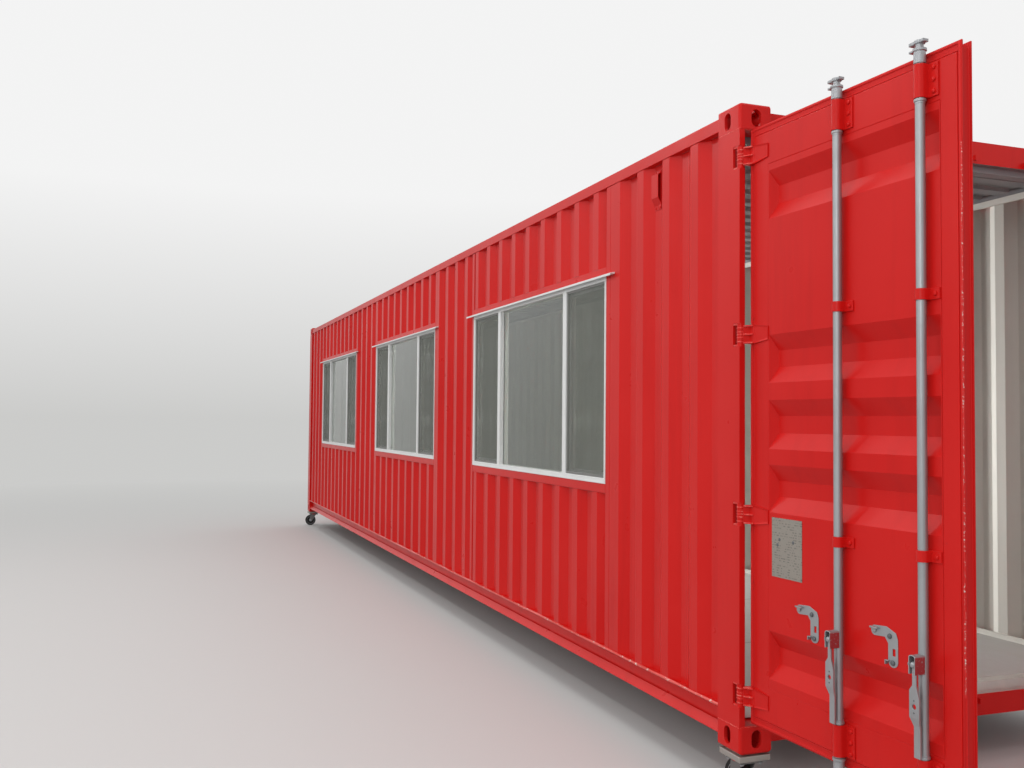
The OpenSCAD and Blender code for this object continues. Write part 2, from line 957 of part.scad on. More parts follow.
module leaf_hinge() {
  front = blade_thick - leaf_recess;
  difference() {
    union() {
      cylinder(r = knuckle_radius, h = 2 * knuckle_half, center = true);
      translate([0, 0, -knuckle_half])
        linear_extrude(2 * knuckle_half)
          polygon([[6, 15], [-15, 6], [-leaf_recess, 28], [-leaf_recess, 40], [front, 40], [front, 36]]);
    }
    cylinder(r = pin_radius + 0.3, h = 2 * knuckle_half + 2, center = true);
  }
  translate([0, 0, -blade_half])
    linear_extrude(2 * blade_half)
      polygon([
        [-27, 24],
        [-leaf_recess, 28],
        [-leaf_recess, 60],
        [front, 60],
        [front, 37],
        [4, 26],
        [3, 21]
      ]);
  translate([-leaf_recess, 0, 0])
    rotate([90, 0, 90])
      linear_extrude(blade_thick)
        polygon([
          [40, -blade_half],
          [60, -blade_half],
          [blade_reach, -blade_tip],
          [blade_reach, blade_tip],
          [60, blade_half],
          [40, blade_half]
        ]);
}

module leaf_hinges() {
  for (level = hinge_levels)
    translate([0, 0, level])
      leaf_hinge();
}

// Covers that guide the lock rods, each with a bolted flange.
module rod_brackets() {
  reach = rod_radius + bracket_cover;
  for (at = [rod_inner_at, rod_outer_at])
    for (b = bracket_levels)
      translate([0, at, b[0]])
        difference() {
          union() {
            span([-leaf_recess, -reach, 0], [-rod_recess, reach, b[1]]);
            intersection() {
              translate([-rod_recess, 0, 0])
                cylinder(r = reach, h = b[1]);
              span([-leaf_recess, -reach, 0], [reach, reach, b[1]]);
            }
            span([-leaf_recess, reach - 4, 0], [6 - leaf_recess, reach - 4 + bracket_flange, b[1]]);
          }
          translate([-rod_recess, 0, -1])
            cylinder(r = rod_radius + 0.5, h = b[1] + 2);
        }
}

// Bent straps that hold a folded handle, each with an arm towards the hinges.
module retainers() {
  for (at = [rod_inner_at, rod_outer_at])
    translate([-leaf_recess, at - retainer_at, retainer_low])
      rotate([90, 0, 90])
        linear_extrude(retainer_thick)
          difference() {
            union() {
              translate([0, 24])
                circle(24);
              translate([-90, 119])
                circle(19);
              polygon([
                [24, 24],
                [24, 102],
                [14, 126],
                [-32, 143],
                [-90, 138],
                [-90, 100],
                [-40, 104],
                [-24, 84],
                [-24, 24]
              ]);
            }
            translate([-2, 42])
              square([14, 26]);
          }
}

// A lock rod with its cams, collars and the clevis of its handle.
module lock_rod(at) {
  translate([-rod_recess, at, 0]) {
    translate([0, 0, rod_low])
      cylinder(r = rod_radius, h = rod_length);
    for (level = [rod_low, rod_low + rod_length - 16])
      translate([0, 0, level]) {
        cylinder(r = rod_radius + collar, h = 16);
        span([-12, -pivot_reach + 7, 0], [12, 0, 16]);
      }
    for (level = [bracket_levels[0][0] + bracket_levels[0][1] + 2, bracket_levels[3][0] - 20])
      translate([0, 0, level])
        cylinder(r = rod_radius + collar, h = 18);
    for (side = [-1, 1])
      translate([0, clevis_shift + side * (clevis_gap + clevis_plate / 2), 0])
        clevis_wall();
    translate([pivot_reach, clevis_shift, pivot_level])
      rotate([90, 0, 0])
        cylinder(r = 6, h = 2 * (clevis_gap + clevis_plate), center = true);
  }
}

// One wall of a clevis, in the plane of X and Z.
module clevis_wall() {
  upright(-clevis_plate / 2, clevis_plate)
    polygon([
      [0, pivot_level - 34],
      [rod_radius + 4, pivot_level - 34],
      [pivot_reach + 16, pivot_level - 29],
      [pivot_reach + 16, pivot_level + 29],
      [rod_radius + 4, pivot_level + 34],
      [0, pivot_level + 34]
    ]);
}

// A hanging handle with its eye, wide middle and grip set towards the door.
module lock_handle(at) {
  half = handle_thick / 2;
  translate([pivot_reach - rod_recess, at + clevis_shift, pivot_level])
    difference() {
      union() {
        rotate([90, 0, 0])
          cylinder(r = 12, h = 16, center = true);
        intersection() {
          translate([-handle_set - half, 0, 0])
            rotate([90, 0, 90])
              linear_extrude(handle_set + 2 * half)
                polygon([
                  [-8, 0],
                  [-8, -70],
                  [-handle_half, -88],
                  [-handle_half, -180],
                  [-12, -212],
                  [-12, -handle_length],
                  [16, -handle_length],
                  [16, -200],
                  [handle_half, -180],
                  [handle_half, -110],
                  [8, -70],
                  [8, 0]
                ]);
          upright(-handle_half, 2 * handle_half)
            polygon([
              [half, 0],
              [half, -178],
              [half - handle_set, -212],
              [half - handle_set, -handle_length],
              [-half - handle_set, -handle_length],
              [-half - handle_set, -210],
              [-half, -176],
              [-half, 0]
            ]);
        }
      }
      rotate([90, 0, 0])
        cylinder(r = 6.3, h = 18, center = true);
      translate([-handle_thick, 0, -142])
        rotate([0, 90, 0])
          cylinder(r = 9, h = 2 * handle_thick);
    }
}

module door_left_frame() {
  color(red)
    on_leaf()
      leaf_frame();
}

module door_left_panel() {
  color(red)
    on_leaf()
      leaf_panel();
}

module door_left_gasket() {
  color(black)
    on_leaf()
      leaf_gasket();
}

module door_left_hinges() {
  color(red)
    on_leaf()
      leaf_hinges();
}

module door_left_brackets() {
  color(red)
    on_leaf()
      rod_brackets();
}

module door_left_retainers() {
  color(zinc)
    on_leaf()
      retainers();
}

module data_plate() {
  color(zinc)
    on_leaf()
      span([-leaf_recess, plate_at, plate_low],
        [2 - leaf_recess, plate_at + plate_width, plate_low + plate_height]);
}

module lock_rod_inner() {
  color(zinc)
    on_leaf()
      lock_rod(rod_inner_at);
}

module lock_rod_outer() {
  color(zinc)
    on_leaf()
      lock_rod(rod_outer_at);
}

module handle_inner() {
  color(zinc)
    on_leaf()
      lock_handle(rod_inner_at);
}

module handle_outer() {
  color(zinc)
    on_leaf()
      lock_handle(rod_outer_at);
}

module door_right_frame() {
  color(red)
    on_right_leaf()
      leaf_frame();
}

module door_right_panel() {
  color(red)
    on_right_leaf()
      leaf_panel();
}

module door_right_gasket() {
  color(black)
    on_right_leaf()
      leaf_gasket();
}

module door_right_hinges() {
  color(red)
    on_right_leaf()
      leaf_hinges();
}

module door_right_brackets() {
  color(red)
    on_right_leaf()
      rod_brackets();
}

module door_right_lock_gear() {
  color(zinc)
    on_right_leaf() {
      retainers();
      for (at = [rod_inner_at, rod_outer_at]) {
        lock_rod(at);
        lock_handle(at);
      }
    }
}

// Which piece to draw, or all of them

corner_castings();
door_post_left();
door_post_right();
front_posts();
top_rails();
bottom_rails();
door_header();
door_sill();
front_beams();
cross_members();
floor_boards();
roof();
front_wall();
side_wall_right();
side_wall_left_piers();
side_wall_left_heads();
side_wall_left_sills();
window_posts();
window_rails();
window_frames();
window_sashes();
window_glass();
window_screens();
drip_caps();
ventilators();
caster_brackets();
caster_forks();
caster_wheels();
door_left_frame();
door_left_panel();
door_left_gasket();
door_left_hinges();
door_left_brackets();
door_left_retainers();
data_plate();
lock_rod_inner();
lock_rod_outer();
handle_inner();
handle_outer();
door_right_frame();
door_right_panel();
door_right_gasket();
door_right_hinges();
door_right_brackets();
door_right_lock_gear();
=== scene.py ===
import json
import math

import bmesh
import bpy
from mathutils import Matrix, Vector


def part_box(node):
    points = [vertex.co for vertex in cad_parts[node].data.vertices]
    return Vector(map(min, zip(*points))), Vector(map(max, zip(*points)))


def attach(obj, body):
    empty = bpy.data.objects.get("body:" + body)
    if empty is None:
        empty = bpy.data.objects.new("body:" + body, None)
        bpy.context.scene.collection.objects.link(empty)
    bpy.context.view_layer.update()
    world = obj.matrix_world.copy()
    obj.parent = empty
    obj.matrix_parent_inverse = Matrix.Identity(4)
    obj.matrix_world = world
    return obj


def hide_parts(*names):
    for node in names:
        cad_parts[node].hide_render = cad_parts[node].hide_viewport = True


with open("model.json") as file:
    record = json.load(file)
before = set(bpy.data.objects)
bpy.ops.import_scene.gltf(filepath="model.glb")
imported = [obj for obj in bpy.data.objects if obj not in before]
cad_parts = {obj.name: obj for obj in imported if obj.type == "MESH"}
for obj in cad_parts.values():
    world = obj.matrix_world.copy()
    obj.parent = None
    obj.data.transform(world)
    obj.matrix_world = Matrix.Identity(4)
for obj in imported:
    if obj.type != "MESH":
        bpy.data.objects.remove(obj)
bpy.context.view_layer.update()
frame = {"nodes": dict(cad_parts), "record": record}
nodes = frame["nodes"]
slot_of = {part["node"]: part["material_slot"] for part in frame["record"]["subparts"]}
body_of = {node: body for body, held in frame["record"]["behaviour"]["bodies"].items() for node in held}

# Sizes of the container in metres. Its middle is SHIFT along X, its underside STAND above the ground.
HALF_LENGTH = 6.096
HALF_WIDTH = 1.219
HEIGHT = 2.896
CASTING_LENGTH = 0.178
CASTING_HEIGHT = 0.118
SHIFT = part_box("corner_castings")[0].x + HALF_LENGTH
STAND = 0.22
MIDDLE = Vector((SHIFT, 0, STAND + HEIGHT / 2))
HALF_SIZE = (HALF_LENGTH, HALF_WIDTH, HEIGHT / 2)
RAIL_REACH = HALF_LENGTH - CASTING_LENGTH

# Levels of the header's and the sill's folds, between which the paint changes.
HEADER_STEPS = (2.777, 2.784)
SILL_STEPS = (0.12, 0.127)

# Corrugation of the long walls: the left edge of one outer flat, and an inner flat counted from there.
WAVE_START = 4.812
WAVE_PITCH = 0.279
INNER_FLAT = (0.1405, 0.2105)
SHEET_FACE = 1.209
SHEET_LEVELS = (0.172, 2.8095)
STRIP_EDGE = 0.0008

# The ventilators hang on one wave of each long wall, as (side, wave).
VENTS = ((-1, 1), (1, -37))
VENT_SLOT = 0.03

WINDOW_CENTRES = (3.493, -0.085, -3.663)
WINDOW_HALF = 1.219
WINDOW_LEVELS = (1.1, 2.295)

# Both leaves as side, name and body; the right one is fixed.
LEAVES = ((-1, "left", "door_left"), (1, "right", "container"))

# A leaf has its own axes: d outwards from the pin, s from the hinges to the free edge, z upwards.
PIN = Vector((6.076 + SHIFT, -1.201, 0))
OPEN = math.radians(87.5)
FACE = -0.03
HINGE_LEVELS = (0.26, 1.054, 1.85, 2.65)
ROD_PLACES = {"inner": 0.619, "outer": 1.043}
ROD_RECESS = 0.004
LEVER_AT = 0.004
LEVER_LEVEL = 0.632
# Each rod cover as (foot, height), and its bolts counted from the rod.
COVER_LEVELS = ((0.185, 0.121), (0.982, 0.04), (1.893, 0.04), (2.606, 0.121))
COVER_BOLTS_AT = 0.044
HOOK_AT = -0.166
HOOK_LEVEL = 0.577
PLATE_SPAN = (0.182, 0.376)
PLATE_LEVELS = (0.806, 1.056)
PLATE_STUDS = ((0.233, 0.966), (0.321, 0.962), (0.219, 0.942))

CASTOR_X = 6.007
CASTOR_Y = 1.138
CASTOR_TRAIL = 0.045
AXLE_HEIGHT = 0.08
FAR_SWIVEL = 84

RULE_PITCH = 0.0105
THREAD_PITCH = 0.0024
BOARD_LENGTH = 1.22

# The viewpoint, in the container's own axes, with yaw, pitch and roll in degrees.
VIEWPOINT = (9.8566, -3.6948, 1.4587)
VIEW_ANGLES = (69.616, 2.115, 0.511)
SENSOR_WIDTH = 36
LENS = 34.808

HORIZON = (0.60, 0.60, 0.59)
ZENITH = (0.90, 0.90, 0.90)
LAMPS = [
    # name, place, aim, size, watts, spread
    ("overhead", (1.5, -3.0, 9.0), (1.5, -0.5, 0.0), (14, 1.2), 84, 180),
    ("side_lamp", (5.0, -11.0, 5.2), (3.5, -1.2, 1.4), (14, 0.8), 101, 180),
    ("low_fill", (6.0, -10.0, 1.9), (5.0, -1.2, 1.3), (12, 3), 40, 180),
    ("end_lamp", (10.6, -6.9, 3.6), (6.4, -1.2, 1.5), (2, 2), 78, 180),
    ("room_lamp", (-2.2, -0.8, 2.2), (5.0, 1.0, 1.5), (0.8, 0.6), 86, 60),
]
HIGH_LAMPS = ((-4.0, -6.0), (0.5, -6.0), (5.0, -6.0), (9.5, -3.0))
LAMPS += [("high_lamp_%d" % n, (x, y, 6.4), (x * 0.7, -1.0, 1.4), (0.4, 0.4), 31, 180)
          for n, (x, y) in enumerate(HIGH_LAMPS)]


# Materials

def finish_tree(name):
    """An empty material with its surface shader, ready to be wired."""
    material = bpy.data.materials.new(name)
    material.use_nodes = True
    tree = material.node_tree
    return material, tree, tree.nodes["Principled BSDF"]


def feed(tree, socket, value):
    """Links another socket to this one, or sets it to a plain value."""
    if isinstance(value, bpy.types.NodeSocket):
        tree.links.new(value, socket)
    else:
        socket.default_value = value


def put(tree, kind, inputs=None, **settings):
    made = tree.nodes.new(kind)
    for key, value in settings.items():
        setattr(made, key, value)
    for key, value in (inputs or {}).items():
        feed(tree, made.inputs[key], value)
    return made


def surface(tree, shader, inputs):
    for key, value in inputs.items():
        feed(tree, shader.inputs[key], value)


def place_of(tree, scale=(1, 1, 1)):
    where = put(tree, "ShaderNodeTexCoord").outputs["Object"]
    return put(tree, "ShaderNodeMapping", {"Vector": where, "Scale": scale}).outputs["Vector"]


def noise(tree, where, scale, detail=3.0, roughness=0.55):
    return put(tree, "ShaderNodeTexNoise", {"Vector": where, "Scale": scale, "Detail": detail,
                                            "Roughness": roughness}).outputs["Fac"]


def ramp(tree, value, low, low_colour, high, high_colour):
    """A blend between two colours, from one level of the value to another."""
    made = put(tree, "ShaderNodeValToRGB", {"Fac": value})
    for element, at, colour in zip(made.color_ramp.elements, (low, high), (low_colour, high_colour)):
        element.position = at
        element.color = (*colour, 1)
    return made.outputs["Color"]


def mask(tree, value, low, high, top=1.0):
    """0 below the low level, rising to the top value at the high one."""
    return ramp(tree, value, low, (0, 0, 0), high, (top, top, top))


def blend_colours(tree, share, low, high):
    """A mix of two colours, where each may be a plain colour or a socket."""
    made = put(tree, "ShaderNodeMix", data_type="RGBA", blend_type="MIX")
    for key, value in (("Factor", share), ("A", low), ("B", high)):
        socket = [s for s in made.inputs if s.name == key and s.enabled][0]
        feed(tree, socket, (*value, 1) if isinstance(value, tuple) else value)
    return [s for s in made.outputs if s.enabled][0]


def sums(tree, way, a, b=0.0):
    made = put(tree, "ShaderNodeMath", operation=way)
    feed(tree, made.inputs[0], a)
    feed(tree, made.inputs[1], b)
    return made.outputs[0]


def scaled(tree, value, factor, base=0.0):
    """The value times a factor, plus the base if there is one."""
    product = sums(tree, "MULTIPLY", value, factor)
    return sums(tree, "ADD", product, base) if base else product


def stripes(tree, value, reach):
    """1 within the reach of each half step of the value, 0 elsewhere."""
    off = sums(tree, "SUBTRACT", sums(tree, "FRACT", value), 0.5)
    return sums(tree, "LESS_THAN", sums(tree, "ABSOLUTE", off), reach)


def bump(tree, shader, height, strength, distance):
    made = put(tree, "ShaderNodeBump", {"Height": height, "Strength": strength, "Distance": distance})
    tree.links.new(made.outputs["Normal"], shader.inputs["Normal"])


def marine_paint(name, colour, faded, streaks=0.25, gloss=0.31, shine=0.17):
    """Sprayed container paint: orange peel, slight oil canning, run marks and scuffs."""
    material, tree, shader = finish_tree(name)
    where = place_of(tree)
    clouds = mask(tree, noise(tree, where, 0.9, 4), 0.35, 0.75)
    runs = mask(tree, noise(tree, place_of(tree, (1, 1, 0.08)), 9.0, 5, 0.65), 0.52, 0.78)
    scuffs = mask(tree, noise(tree, where, 38.0, 6, 0.75), 0.66, 0.72)
    base = blend_colours(tree, clouds, colour, faded)
    dull = blend_colours(tree, scaled(tree, runs, streaks), base, tuple(c * 0.62 for c in colour))
    worn = blend_colours(tree, scaled(tree, scuffs, 0.3), dull, tuple(c * 0.5 + 0.03 for c in colour))
    roughness = scaled(tree, noise(tree, where, 7.0, 4), 0.18, gloss - 0.09)
    surface(tree, shader, {"Base Color": worn, "Roughness": roughness, "Specular IOR Level": shine})
    peel = scaled(tree, noise(tree, where, 420.0, 2), 0.05)
    dents = noise(tree, where, 2.2, 2)
    bump(tree, shader, sums(tree, "ADD", peel, dents), 0.35, 0.004)
    return material


def chipped_and_highlight_paint(name, colour, flake_colour, share=0.6, size=120.0):
    """Paint knocked through to the layer beneath, in short broken flakes. In a light red with pale flakes it
    is painted highlight instead.
    """
    material, tree, shader = finish_tree(name)
    where = place_of(tree)
    flakes = mask(tree, noise(tree, where, size, 4, 0.7), share, share + 0.03)
    base = blend_colours(tree, noise(tree, where, 2.5), colour,
                         tuple(min(1.0, c * 1.12 + 0.01) for c in colour))
    surface(tree, shader, {"Base Color": blend_colours(tree, flakes, base, flake_colour),
                           "Roughness": scaled(tree, flakes, 0.3, 0.28), "Specular IOR Level": 0.34})
    bump(tree, shader, scaled(tree, flakes, -1.0), 0.4, 0.0008)
    return material


def ruled_plate(name):
    """A bare metal plate with etched rules and blank fields."""
    material, tree, shader = finish_tree(name)
    split = put(tree, "ShaderNodeSeparateXYZ", {"Vector": place_of(tree)})
    across = split.outputs["X"]
    rules = scaled(tree, split.outputs["Z"], 1 / RULE_PITCH)
    level = sums(tree, "FLOOR", rules)
    marks = put(tree, "ShaderNodeCombineXYZ", {"X": scaled(tree, across, 70.0), "Y": level})
    dashes = sums(tree, "GREATER_THAN", noise(tree, marks.outputs["Vector"], 1.0, 2), 0.5)
    spans = put(tree, "ShaderNodeCombineXYZ", {"X": scaled(tree, across, 16.0),
                                               "Y": scaled(tree, level, 0.4)})
    fields = sums(tree, "GREATER_THAN", noise(tree, spans.outputs["Vector"], 1.3, 2), 0.47)
    ink = sums(tree, "MULTIPLY", sums(tree, "MULTIPLY", stripes(tree, rules, 0.2), dashes), fields)
    grain = noise(tree, place_of(tree, (1, 1, 14)), 60.0, 4)
    bare = blend_colours(tree, grain, (0.27, 0.245, 0.21), (0.36, 0.33, 0.29))
    etched = blend_colours(tree, scaled(tree, ink, 0.7), bare, (0.13, 0.12, 0.11))
    surface(tree, shader, {"Base Color": etched, "Metallic": 0.35, "Roughness": 0.5})
    bump(tree, shader, scaled(tree, ink, -1.0), 0.2, 0.0003)
    return material


def zinc_coat(name, colour=(0.37, 0.38, 0.395)):
    """Hot dip zinc with faint spangle, drawn marks along the rods and grime."""
    material, tree, shader = finish_tree(name)
    where = place_of(tree)
    spangle = put(tree, "ShaderNodeTexVoronoi", {"Vector": where, "Scale": 160.0}, feature="F1")
    drawn = noise(tree, place_of(tree, (1, 1, 0.03)), 220.0, 4, 0.6)
    grime = mask(tree, noise(tree, where, 6.0, 5), 0.4, 0.8)
    tone = sums(tree, "ADD", scaled(tree, drawn, 0.5), scaled(tree, spangle.outputs["Distance"], 40.0))
    base = blend_colours(tree, tone, tuple(c * 0.82 for c in colour), colour)
    dirty = blend_colours(tree, scaled(tree, grime, 0.35), base, (0.22, 0.21, 0.20))
    surface(tree, shader, {"Base Color": dirty, "Metallic": 0.6, "Roughness": scaled(tree, drawn, 0.25, 0.3)})
    bump(tree, shader, drawn, 0.2, 0.0006)
    return material


def white_vinyl(name):
    """White window vinyl, soiled in clouds."""
    material, tree, shader = finish_tree(name)
    where = place_of(tree)
    soil = mask(tree, noise(tree, where, 5.0, 6, 0.7), 0.45, 0.85)
    soiled = blend_colours(tree, scaled(tree, soil, 0.4), (0.80, 0.81, 0.80), (0.62, 0.61, 0.58))
    roughness = scaled(tree, noise(tree, where, 60.0), 0.2, 0.3)
    surface(tree, shader, {"Base Color": soiled, "Roughness": roughness})
    bump(tree, shader, noise(tree, where, 300.0, 2), 0.1, 0.0005)
    return material


def pane_glass(name):
    """Clear glass with a faint green cast and a few smears."""
    material, tree, shader = finish_tree(name)
    smears = mask(tree, noise(tree, place_of(tree), 4.0, 5, 0.7), 0.5, 0.9, 0.12)
    surface(tree, shader, {"Base Color": (0.92, 0.98, 0.92, 1), "Roughness": smears,
                           "Transmission Weight": 1.0, "IOR": 1.45})
    return material


def insect_mesh(name):
    """Fine dark mesh: woven threads with clear holes between them."""
    material, tree, shader = finish_tree(name)
    where = place_of(tree)
    split = put(tree, "ShaderNodeSeparateXYZ", {"Vector": where})
    threads = []
    for axis in ("X", "Z"):
        turn = scaled(tree, split.outputs[axis], 2 * math.pi / THREAD_PITCH)
        threads.append(sums(tree, "GREATER_THAN", sums(tree, "SINE", turn), 0.55))
    cover = sums(tree, "MAXIMUM", threads[0], threads[1])
    tone = blend_colours(tree, noise(tree, where, 3.0), (0.16, 0.17, 0.15), (0.22, 0.23, 0.20))
    surface(tree, shader, {"Base Color": tone, "Alpha": scaled(tree, cover, 0.92), "Roughness": 0.7})
    return material


def door_rubber(name, colour, spray=(0.16, 0.02, 0.02), cover=0.4, edge=0.55):
    """Black rubber with paint blown over it."""
    material, tree, shader = finish_tree(name)
    where = place_of(tree)
    overspray = mask(tree, noise(tree, where, 22.0, 5, 0.7), edge, edge + 0.17)
    sprayed = blend_colours(tree, scaled(tree, overspray, cover), colour, spray)
    surface(tree, shader, {"Base Color": sprayed, "Roughness": 0.62, "Specular IOR Level": 0.3})
    bump(tree, shader, noise(tree, where, 240.0, 4), 0.3, 0.0008)
    return material


def plywood(name):
    """Grey coated floor boards, worn, with dark seams across the room."""
    material, tree, shader = finish_tree(name)
    grain = noise(tree, place_of(tree, (1.5, 22, 1)), 6.0, 8, 0.65)
    where = place_of(tree)
    wear = mask(tree, noise(tree, where, 1.6, 6, 0.7), 0.42, 0.8)
    split = put(tree, "ShaderNodeSeparateXYZ", {"Vector": where})
    seam = stripes(tree, scaled(tree, split.outputs["X"], 1 / BOARD_LENGTH), 0.003)
    wood = blend_colours(tree, grain, (0.36, 0.35, 0.33), (0.46, 0.46, 0.45))
    worn = blend_colours(tree, scaled(tree, wear, 0.5), wood, (0.34, 0.29, 0.22))
    surface(tree, shader, {"Base Color": blend_colours(tree, seam, worn, (0.06, 0.04, 0.03)),
                           "Roughness": 0.6})
    bump(tree, shader, sums(tree, "SUBTRACT", grain, scaled(tree, seam, 2.0)), 0.3, 0.001)
    return material


RED = (0.635, 0.009, 0.0075)
RED_FADED = (0.69, 0.018, 0.015)
red_paint = marine_paint("red_marine_paint", RED, RED_FADED)
lining_paint = marine_paint("lining_paint", (0.60, 0.59, 0.54), (0.66, 0.65, 0.60), 0.1, 0.5, 0.3)
ceiling_paint = marine_paint("ceiling_paint", (0.22, 0.22, 0.23), (0.28, 0.28, 0.28), 0.2, 0.6, 0.2)
chipped_edge = chipped_and_highlight_paint("chipped_red_edge", RED, (0.72, 0.66, 0.60), 0.57, 150.0)
# Light red with pale flakes: painted highlight along the beads of the lower rails.
bead_highlight_red = chipped_and_highlight_paint("painted_bead_highlight", (0.72, 0.075, 0.06), (0.80, 0.62, 0.56), 0.60, 45.0)
# Lighter red with pale flakes: painted highlight on the hinge ribs, the hinge lugs and the casting weld
# seams.
edge_highlight_red = chipped_and_highlight_paint("painted_edge_highlight", (0.72, 0.028, 0.022), (0.82, 0.17, 0.14), 0.54, 70.0)
sprayed_zinc = chipped_and_highlight_paint("sprayed_clevis_zinc", (0.30, 0.035, 0.04), (0.34, 0.30, 0.30))
threshold_steel = zinc_coat("threshold_steel", (0.66, 0.65, 0.61))
galvanised = zinc_coat("galvanised_steel")
castor_zinc = zinc_coat("castor_plate_zinc", (0.40, 0.375, 0.34))
fork_zinc = zinc_coat("castor_fork_zinc", (0.20, 0.195, 0.19))
dark_steel = zinc_coat("dark_bolt_steel", (0.13, 0.14, 0.15))
screen_metal = zinc_coat("screen_frame_metal", (0.24, 0.24, 0.23))
plate_metal = ruled_plate("data_plate_metal")
vinyl = white_vinyl("white_vinyl")
glazing = pane_glass("window_glass")
mesh_screen = insect_mesh("insect_mesh")
rubber = door_rubber("sprayed_door_rubber", (0.36, 0.010, 0.010), RED, 1.0, 0.2)
tyre = door_rubber("wheel_rubber", (0.018, 0.018, 0.018))
boards = plywood("floor_plywood")
slot_shade = marine_paint("vent_slot_shade", (0.10, 0.006, 0.006), (0.14, 0.010, 0.010), 0.1, 0.6, 0.1)

FINISHES = {
    "galvanised": galvanised,
    "plate_aluminium": plate_metal,
    "white_vinyl": vinyl,
    "window_glazing": glazing,
    "insect_mesh": mesh_screen,
    "door_rubber": rubber,
    "wheel_tread": tyre,
    "plywood": boards,
    "container_red": red_paint,
}


def coat(obj, material):
    obj.data.materials.clear()
    obj.data.materials.append(material)


def coat_nodes():
    """Gives every CAD node the finish of its slot, before any of them is copied."""
    for node, obj in nodes.items():
        coat(obj, FINISHES[slot_of[node]])


def lined(obj, material, test):
    """Gives the faces that pass the test, by their middle and normal, a second paint."""
    obj.data.materials.append(material)
    index = len(obj.data.materials) - 1
    for face in obj.data.polygons:
        if test(face.center, face.normal):
            face.material_index = index


# Mesh tools

def deselect():
    if bpy.context.object and bpy.context.object.mode != "OBJECT":
        leave_edit()
    bpy.ops.object.select_all(action="DESELECT")


def activate(obj):
    """Makes one piece the only selected and the active one."""
    deselect()
    obj.select_set(True)
    bpy.context.view_layer.objects.active = obj


def edit(obj):
    activate(obj)
    bpy.ops.object.mode_set(mode="EDIT")


def leave_edit():
    bpy.ops.object.mode_set(mode="OBJECT")


def pick_all():
    bpy.ops.mesh.select_all(action="SELECT")


def pick(test, kind="faces"):
    """Selects in edit mode the faces, edges or points whose middle passes the test."""
    bpy.ops.mesh.select_all(action="DESELECT")
    mesh = bmesh.from_edit_mesh(bpy.context.object.data)
    bpy.context.tool_settings.mesh_select_mode = (kind == "verts", kind == "edges", kind == "faces")
    for item in getattr(mesh, kind):
        if kind == "faces":
            item.select = test(item.calc_center_median(), item.normal)
        elif kind == "edges":
            start, end = (point.co for point in item.verts)
            item.select = test((start + end) / 2, start - end)
        else:
            item.select = test(item.co, item.normal)
    mesh.select_flush_mode()
    bmesh.update_edit_mesh(bpy.context.object.data)


def push(value):
    bpy.ops.transform.translate(value=value)


def push_points(obj, test, value):
    """Moves the points of a piece that pass the test."""
    edit(obj)
    pick(test, "verts")
    push(value)
    leave_edit()


def bevel_where(obj, test, radius, steps):
    """Rounds the edges of a piece that pass the test."""
    edit(obj)
    bpy.ops.mesh.select_all(action="DESELECT")
    bpy.context.tool_settings.mesh_select_mode = (False, True, False)
    mesh = bmesh.from_edit_mesh(obj.data)
    for edge in mesh.edges:
        edge.select = len(edge.link_faces) == 2 and test(edge)
    bmesh.update_edit_mesh(obj.data)
    bpy.ops.mesh.bevel(offset=radius, segments=steps, affect="EDGES", clamp_overlap=True)
    leave_edit()


def apply_all(obj):
    activate(obj)
    for modifier in list(obj.modifiers):
        bpy.ops.object.modifier_apply(modifier=modifier.name)


def soften(obj, width, steps, angle=20):
    made = obj.modifiers.new("soft_edges", "BEVEL")
    made.width = width
    made.segments = steps
    made.limit_method = "ANGLE"
    made.angle_limit = math.radians(angle)
    made.use_clamp_overlap = True
    apply_all(obj)


def level_flats(obj):
    """Smooth shading over the soft edges, while the wide faces stay flat."""
    activate(obj)
    bpy.ops.object.shade_smooth_by_angle(angle=math.radians(50))
    made = obj.modifiers.new("flat_faces", "WEIGHTED_NORMAL")
    made.keep_sharp = True
    made.weight = 80
    apply_all(obj)


def settle(obj, name, material, body, smooth=35):
    """Puts the finished piece's place into its mesh and hangs it on its body."""
    obj.data.transform(obj.matrix_world)
    obj.matrix_world = Matrix.Identity(4)
    obj.name = obj.data.name = name
    if material:
        coat(obj, material)
    activate(obj)
    bpy.ops.object.shade_smooth_by_angle(angle=math.radians(smooth))
    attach(obj, body)
    return obj


def own_copy(obj):
    """A copy of a piece with a mesh of its own."""
    made = obj.copy()
    made.data = obj.data.copy()
    bpy.context.scene.collection.objects.link(made)
    return made


def clean_copy(node):
    """A copy of a CAD node with its loose triangles merged to whole faces."""
    obj = own_copy(nodes[node])
    edit(obj)
    pick_all()
    bpy.ops.mesh.remove_doubles(threshold=0.00002)
    bpy.ops.mesh.dissolve_limited(angle_limit=math.radians(0.4), delimit={"MATERIAL"})
    leave_edit()
    return obj


def take_over(obj, node, name):
    """Settles a reworked copy under its own name, in place of its CAD node."""
    settle(obj, name, None, body_of[node])
    level_flats(obj)
    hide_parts(node)
    return obj


def rounded(node, name, width, cuts=()):
    """A copy of a CAD node with the soft edges of cast, folded or sawn steel."""
    obj = clean_copy(node)
    for place, way in cuts:
        edit(obj)
        pick_all()
        bpy.ops.mesh.bisect(plane_co=place, plane_no=way)
        leave_edit()
    soften(obj, width, 2)
    return take_over(obj, node, name)


def folded(node, name, radius):
    """A copy of a pressed sheet whose folds get their bending radius."""
    obj = clean_copy(node)
    bevel_where(obj, lambda edge: 0.2 < edge.calc_face_angle(0) < 1.3, radius, 3)
    return take_over(obj, node, name)


